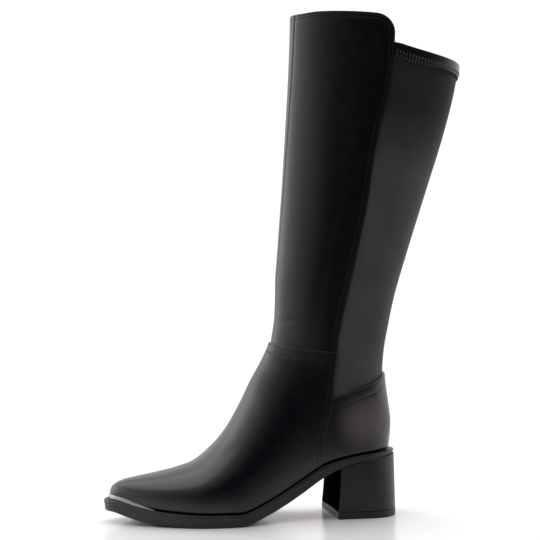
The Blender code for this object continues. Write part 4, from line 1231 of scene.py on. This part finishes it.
# %% The toe plate
PLATE_REACH, PLATE_TALL, PLATE_LEAST = 36.5 * MM, 3.7 * MM, 0.15 * MM
PLATE_THICK, PLATE_SWELL = 0.35 * MM, 0.25 * MM
PLATE_INSET = 1.0 * MM           # free ledge in front of the plate, and how far its foot stands off the vamp
PLATE_TAPER, PLATE_LEAN = 2.4, 0.55
OFF_VAMP, PAST_WIDEST = 0.25 * MM, 6
EDGE_IN, EDGE_OUT = 0.1 * MM, 0.12 * MM           # its eased rim
FOOT_OUT, FOOT_SUNK = 0.2 * MM, 0.1 * MM
normal_grid = last_normals.reshape(last.shape)
plate_stations = [n for n in range(0, count, 2) if last[n, 0, 0] < last[0, 0, 0] + PLATE_REACH]


def vamp_profile(station, mirrored, up):
    """The vamp's skin beside the toe, at a height above the bed."""
    ids = np.arange(0, LOW_STEPS + PAST_WIDEST)
    ids = last.shape[1] - 1 - ids if mirrored else ids
    skin_line = last[station, ids] + normal_grid[station, ids] * (VAMP_SKIN + OFF_VAMP)
    rise = np.maximum.accumulate(skin_line[:, 2] - bed_at(last[station, 0, 0]))
    return np.array([np.interp(up, rise + np.arange(len(rise)) * 1e-9, skin_line[:, n]) for n in range(3)])


sections = []
for mirrored, order in ((False, plate_stations[::-1]), (True, plate_stations[1:])):
    for station in order:
        number = (len(plain_ring) - station) % len(plain_ring) if mirrored else station
        reach = (last[station, 0, 0] - last[0, 0, 0]) / PLATE_REACH
        edge = min(plain_ledge[number] - PLATE_INSET, VAMP_SKIN + PLATE_INSET)
        top = vamp_profile(station, mirrored, PLATE_TALL * (1 - reach ** PLATE_TAPER) + PLATE_LEAST)
        foot_place = np.append(plain_ring[number] + plain_out[number] * edge,
                               bed_at(plain_ring[number, 0]) - FOOT_SUNK)
        middle = (top + foot_place) / 2
        outward = np.append(plain_out[number], PLATE_LEAN)
        outward /= np.linalg.norm(outward)
        sections.append([top - outward * PLATE_THICK, top - outward * EDGE_IN, top + outward * EDGE_OUT,
                         middle + outward * (PLATE_THICK + PLATE_SWELL * (1 - reach ** 2)),
                         foot_place + outward * FOOT_OUT, foot_place + np.array([0, 0, -FOOT_SUNK]),
                         middle - outward * PLATE_THICK])
plate_faces = closed(len(sections), len(sections[0]))
plate = piece_from("toe_guard", np.concatenate(sections), plate_faces, metal)
plate.data.set_sharp_from_angle(angle=math.radians(60))
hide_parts("toe_plate")
print("toe plate sections", len(sections))

# %% [markdown]
# A stitch is a short bead of thread, pulled down at both ends. Stitches are counted in millimetres, so each
# row is walked at an even pitch along its own line on the skin, also round the front and over the ankle. A
# texture would stretch at the bends.

# %% Runs along a line on the skin
SHORTEST_RUN = 8                 # crumbs of a line with no more points than this are left out


def runs_of(edges):
    """Joins edges end to end into runs of point numbers."""
    joined = {}
    for a, b in edges:
        joined.setdefault(a, []).append(b)
        joined.setdefault(b, []).append(a)
    seen, runs = set(), []
    for first in [n for n, found in joined.items() if len(found) == 1] + list(joined):
        if first in seen:
            continue
        run = [first]
        seen.add(first)
        while True:
            following = [n for n in joined[run[-1]] if n not in seen]
            if not following:
                break
            run.append(following[0])
            seen.add(following[0])
        if len(run) > SHORTEST_RUN:
            runs.append(run)
    return runs


def line_on(base, height_of, field, distance, *limits):
    """Places and normals at one distance from a line, on a raised skin and inside some limits."""
    for limit, inset in limits:
        base = split_skin(base, limit(base[0]) - inset)[0]
    (points, normals, _), _, edges = split_skin(base, field(base[0]) - distance)
    found = []
    for run in runs_of(edges):
        place, normal = points[run], normals[run]
        lift = (height_of(place) if callable(height_of) else height_of) + softness(place)
        found.append((place + normal * np.reshape(lift, (-1, 1)), normal))
    return found


def walked(run, pitch):
    """Places and normals at an even pitch along a run."""
    places, normals = run
    lengths = lengths_along(places)
    at = np.linspace(0, lengths[-1], max(int(lengths[-1] / pitch), 2) + 1)
    both = np.column_stack([places, normals])
    spots = np.column_stack([np.interp(at, lengths, both[:, n]) for n in range(6)])
    return spots[:, :3], spots[:, 3:]


print("rows are walked on the skin itself")

# %% [markdown]
# Seen close, a row of stitches is a row of short beads, each dipping into the leather at both ends. A bead
# is a small six-sided spindle, and all beads of a row are made at once, which is quick and light.

# %% Beads of thread
BEAD_RINGS = ((-1.0, 0.25), (-0.8, 0.7), (-0.3, 1.0), (0.3, 1.0), (0.8, 0.7), (1.0, 0.25))
BEAD_SIDES = 6
BEAD_ARCH, BEAD_SUNK = 0.75, 0.60                 # how far its middle rises and how deep it lies, in radii


def beads_between(starts, ends, ups, radius):
    """Points and faces of many beads at once."""
    run = ends - starts
    half = np.linalg.norm(run, axis=1, keepdims=True) / 2
    run = run / (2 * half)
    across = np.cross(run, ups)
    across /= np.linalg.norm(across, axis=1, keepdims=True)
    up = np.cross(across, run)
    rings = []
    for place, wide in BEAD_RINGS:
        centre = (starts + ends) / 2 + run * half * place + up * radius * (BEAD_ARCH * wide - BEAD_SUNK)
        for side_number in range(BEAD_SIDES):
            turn = side_number * 2 * math.pi / BEAD_SIDES
            rings.append(centre + (across * math.cos(turn) + up * math.sin(turn)) * radius * wide)
    points = np.stack(rings, axis=1).reshape(-1, 3)
    size = len(BEAD_RINGS) * BEAD_SIDES
    pattern = closed(len(BEAD_RINGS), BEAD_SIDES, downward=True)
    return points, [[number * size + n for n in face] for number in range(len(starts)) for face in pattern]


def sewn(name, rows, radius, finish):
    """One piece with all beads of some rows. A row is places, normals, filled share, first and every."""
    starts, ends, ups = [], [], []
    for places, normals, fill, first, every in rows:
        run = places[1:] - places[:-1]
        starts.append((places[:-1] + run * (1 - fill) / 2)[first::every])
        ends.append((places[1:] - run * (1 - fill) / 2)[first::every])
        ups.append((normals[1:] + normals[:-1])[first::every])
    points, faces = beads_between(np.concatenate(starts), np.concatenate(ends), np.concatenate(ups), radius)
    print(name, "faces", len(faces))
    return piece_from(name, points, faces, finish)


print("a bead has", len(BEAD_RINGS) * BEAD_SIDES, "points")

# %% [markdown]
# Eight rows hold the leather together. Each is walked along its groove at an even pitch, so the stitches
# stay even where the skin bends. Black thread on black leather shows mostly as a row of small dents.

# %% Stitches of the vamp, the counter and the shaft
PITCH, THREAD, FILLED = 2.9 * MM, 0.36 * MM, 0.74
OFF_SEAM, OFF_TOP, OFF_COUNTER_EDGE, OFF_VAMP_TOP = 6 * MM, 1 * MM, 0.5 * MM, 0.8 * MM    # where the rows end
rows = []
row_plan = (
    (vamp_base, vamp_height, under_vamp, ROW_ONE, (ahead_side, OFF_SEAM)),
    (vamp_base, vamp_height, under_vamp, STITCH_IN, (ahead_side, OFF_SEAM)),
    (vamp_base, vamp_height, ahead_side, ROW_ONE, (under_vamp, OFF_TOP)),
    (vamp_base, vamp_height, ahead_side, ROW_TWO, (under_vamp, OFF_TOP)),
    (counter_base, counter_height, under_counter, ROW_ONE, (behind_side, OFF_COUNTER_EDGE)),
    (counter_base, counter_height, under_counter, STITCH_IN, (behind_side, OFF_COUNTER_EDGE)),
    (shaft_base, shaft_height, leather_side, ROW_ONE, (above_vamp, OFF_VAMP_TOP)),
    (shaft_base, shaft_height, leather_side, ROW_TWO, (above_vamp, OFF_VAMP_TOP)),
)
for base, height_of, field, distance, limit in row_plan:
    for run in line_on(base, height_of, field, distance, limit):
        rows.append((*walked(run, PITCH), FILLED, 0, 1))
sewn("seam_stitches", rows, THREAD, thread)
print("rows", len(rows))

# %% [markdown]
# An elastic hem needs a stitch that can stretch, so it is sewn in a zigzag. In the photo only the legs that
# lean one way catch the light, in two rows. So those legs are made, in a slightly shiny thread.

# %% The hem's zigzag
ZIG_PITCH, ZIG_THREAD, ZIG_FILLED = 3.2 * MM, 0.45 * MM, 0.9
ZIG_DEPTHS = (6.6 * MM, 10.6 * MM, 14.6 * MM)
FINE_PITCH, OFF_LEATHER = 0.05 * MM, 0.5 * MM


def zigzag_line(depth):
    """The line that deep under the top edge, on hem or cloth, from the outer side inwards."""
    base, height_of = ((hem_base, hem_height) if depth < HEM_HEIGHT - HEM_TRIM
                       else (stretch_base, STRETCH_SKIN))
    places, normals = max(line_on(base, height_of, under_hem, depth, (behind_side, OFF_LEATHER)),
                          key=lambda run: len(run[0]))
    turned = -1 if places[0, 1] > places[-1, 1] else 1
    return places[::turned], normals[::turned]


rows = []
for high, low in zip(ZIG_DEPTHS[:-1], ZIG_DEPTHS[1:]):
    upper_places, upper_normals = walked(zigzag_line(high), ZIG_PITCH / 2)
    lower_places, lower_normals = walked(zigzag_line(low), FINE_PITCH)
    pick = np.linspace(0, len(lower_places) - 1, len(upper_places)).astype(int)
    even = (np.arange(len(pick)) % 2 == 0)[:, None]
    rows.append((np.where(even, upper_places, lower_places[pick]),
                 np.where(even, upper_normals, lower_normals[pick]), ZIG_FILLED, 1, 2))
sewn("hem_zigzag", rows, ZIG_THREAD, light_thread)

# %% [markdown]
# The insole is a thin board with a cloth cover, and it shows only from above, deep in the shaft. A finer
# mesh would add nothing there, so its solid stays and gets the lining's finish.

# %% The insole
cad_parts["insole"].data.materials.clear()
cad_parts["insole"].data.materials.append(lining)
print("insole keeps its solid")

# %% [markdown]
# The picture looks as if it was taken low and from close by, in a light tent: white cloth all round, and a
# dark opening where the camera looks in. The camera looks a little upwards and stands to the toe's side of
# the boot. Its place was worked out from the picture's horizon and the heel's corners on the table, because
# a camera set by eye would put every other measure wrong.

# %% Camera
PITCH_UP, TURN_RIGHT = math.radians(4.698), math.radians(11.46)
camera_data = bpy.data.cameras.new("camera")
camera_data.lens, camera_data.sensor_width = 57.6, 36.0
camera_data.clip_start, camera_data.clip_end = 0.02, 60.0
camera = bpy.data.objects.new("camera", camera_data)
bpy.context.scene.collection.objects.link(camera)
look = Vector((math.sin(TURN_RIGHT) * math.cos(PITCH_UP), math.cos(TURN_RIGHT) * math.cos(PITCH_UP),
               math.sin(PITCH_UP)))
camera.location = (-0.1779, -0.7778, 0.1570)
camera.rotation_mode = "QUATERNION"
camera.rotation_quaternion = look.to_track_quat("-Z", "Y")
bpy.context.scene.camera = camera
print("camera at", tuple(round(v, 4) for v in camera.location))

# %% [markdown]
# The boot stands on a pale, slightly glossy table, which gives the faint mirror image under the sole. The
# table ends just in front of the boot, outside the picture, because the leather there mirrors a dark room
# and no white top.

# %% Table
TABLE_LEFT, TABLE_RIGHT, TABLE_NEAR, TABLE_FAR = -0.9, 0.60, -0.13, 1.2
table_finish = bpy.data.materials.new("pale_table")
table_finish.use_nodes = True
table_shader = table_finish.node_tree.nodes["Principled BSDF"]
table_shader.inputs["Base Color"].default_value = (0.86, 0.86, 0.87, 1.0)
table_shader.inputs["Roughness"].default_value = 0.22
table_points = [(x, y, 0.0) for y in (TABLE_NEAR, TABLE_FAR) for x in (TABLE_LEFT, TABLE_RIGHT)]
table_mesh = bpy.data.meshes.new("table_top")
table_mesh.from_pydata(table_points, [], [(0, 1, 3, 2)])
table_mesh.polygons.foreach_set("use_smooth", [True])
table_mesh.materials.append(table_finish)
table_top = bpy.data.objects.new("table_top", table_mesh)
bpy.context.scene.collection.objects.link(table_top)
print("table_top faces", len(table_mesh.polygons))

# %% [markdown]
# One large soft lamp above lights the table and the top of the foot. A large lamp gives the wide, soft
# shadow of the photo, and a small one would give a hard edge.

# %% Lamp over the table
lamp_data = bpy.data.lights.new("top_lamp", "AREA")
lamp_data.shape = "RECTANGLE"
lamp_data.size, lamp_data.size_y, lamp_data.energy = 2.8, 2.2, 35.0
lamp = bpy.data.objects.new("top_lamp", lamp_data)
lamp.location = (0.0, 0.45, 1.7)
bpy.context.scene.collection.objects.link(lamp)
print("lamp watts", lamp_data.energy)

# %% [markdown]
# The tent gives the long soft highlights at the edges of the leather, and its dark opening gives the
# near-black middle. Its light depends on the direction alone. In each row the first number is the angle
# from the camera's side, positive to the right, and the others are how bright the cloth is above the table
# and the room is below it.

# %% The tent
TENT_ROWS = (
    (-180, 1.05, 1.00), (-150, 1.40, 0.95), (-130, 2.90, 0.90), (-110, 3.20, 0.90), (-90, 2.00, 0.90),
    (-70, 1.40, 0.90), (-50, 0.70, 0.75), (-30, 0.24, 0.30), (-10, 0.03, 0.08), (15, 0.01, 0.10),
    (35, 0.01, 0.25), (55, 0.01, 0.80), (66, 0.04, 1.00), (78, 0.90, 1.10), (95, 1.40, 0.95),
    (110, 1.60, 0.95), (135, 1.60, 0.95), (160, 1.05, 1.00), (180, 1.05, 1.00),
)
BRIGHTEST = 4.0
tent = bpy.data.worlds.new("tent")
tent.use_nodes = True
tree = tent.node_tree
direction = wired(tree, "TexCoord", {}, "Generated")
right, back, up = [wired(tree, "SeparateXYZ", {"Vector": direction}, axis) for axis in "XYZ"]
angle = calculated(tree, "ARCTAN2", right, calculated(tree, "MULTIPLY", back, -1.0))
turn = ramp(tree, angle, (-math.pi, math.pi))


def tent_ramp(column):
    """Brightness by direction, from one column of the table."""
    node = tree.nodes.new("ShaderNodeValToRGB")
    stops = node.color_ramp.elements
    while len(stops) < len(TENT_ROWS):
        stops.new(0.5)
    for stop, row in zip(stops, TENT_ROWS):
        stop.position = (row[0] + 180) / 360
        stop.color = (*[row[column] / BRIGHTEST] * 3, 1.0)
    tree.links.new(turn, node.inputs["Fac"])
    return node.outputs["Color"]


below, above = tent_ramp(2), tent_ramp(1)
print("tent directions", len(TENT_ROWS))

# %% [markdown]
# The cloth and the room below it meet softly at table height, and the tent's roof is plain and dimmer. The
# cloth is a little warm. Only the camera's own view is swapped for plain white, which is what the photo
# shows behind the boot.

# %% Roof, warmth and plain white
OVERHEAD, SEEN_WHITE = 0.5, 1.05
TABLE_BLEND, ROOF_BLEND = (-0.02, 0.05), (0.55, 0.80)     # how high a direction points, 0 to 1
cloth_light = tree.nodes["Background"]
all_round = mixed(tree, ramp(tree, up, TABLE_BLEND), below, above)
with_roof = mixed(tree, ramp(tree, up, ROOF_BLEND), all_round, (OVERHEAD / BRIGHTEST,) * 3)
warm_cloth = mixed(tree, 1.0, with_roof, (1.0, 0.96, 0.95), blend_type="MULTIPLY")
connect(tree, cloth_light.inputs["Color"], warm_cloth)
cloth_light.inputs["Strength"].default_value = BRIGHTEST
plain_white = wired(tree, "Background", {"Color": (1.0, 1.0, 1.0, 1.0), "Strength": SEEN_WHITE}, "Background")
seen = wired(tree, "LightPath", {}, "Is Camera Ray")
either = wired(tree, "MixShader", {"Fac": seen, 1: cloth_light.outputs["Background"], 2: plain_white},
               "Shader")
connect(tree, tree.nodes["World Output"].inputs["Surface"], either)
bpy.context.scene.world = tent
bpy.context.scene.view_settings.view_transform = "Standard"
print("brightest cloth", BRIGHTEST, "roof", OVERHEAD)
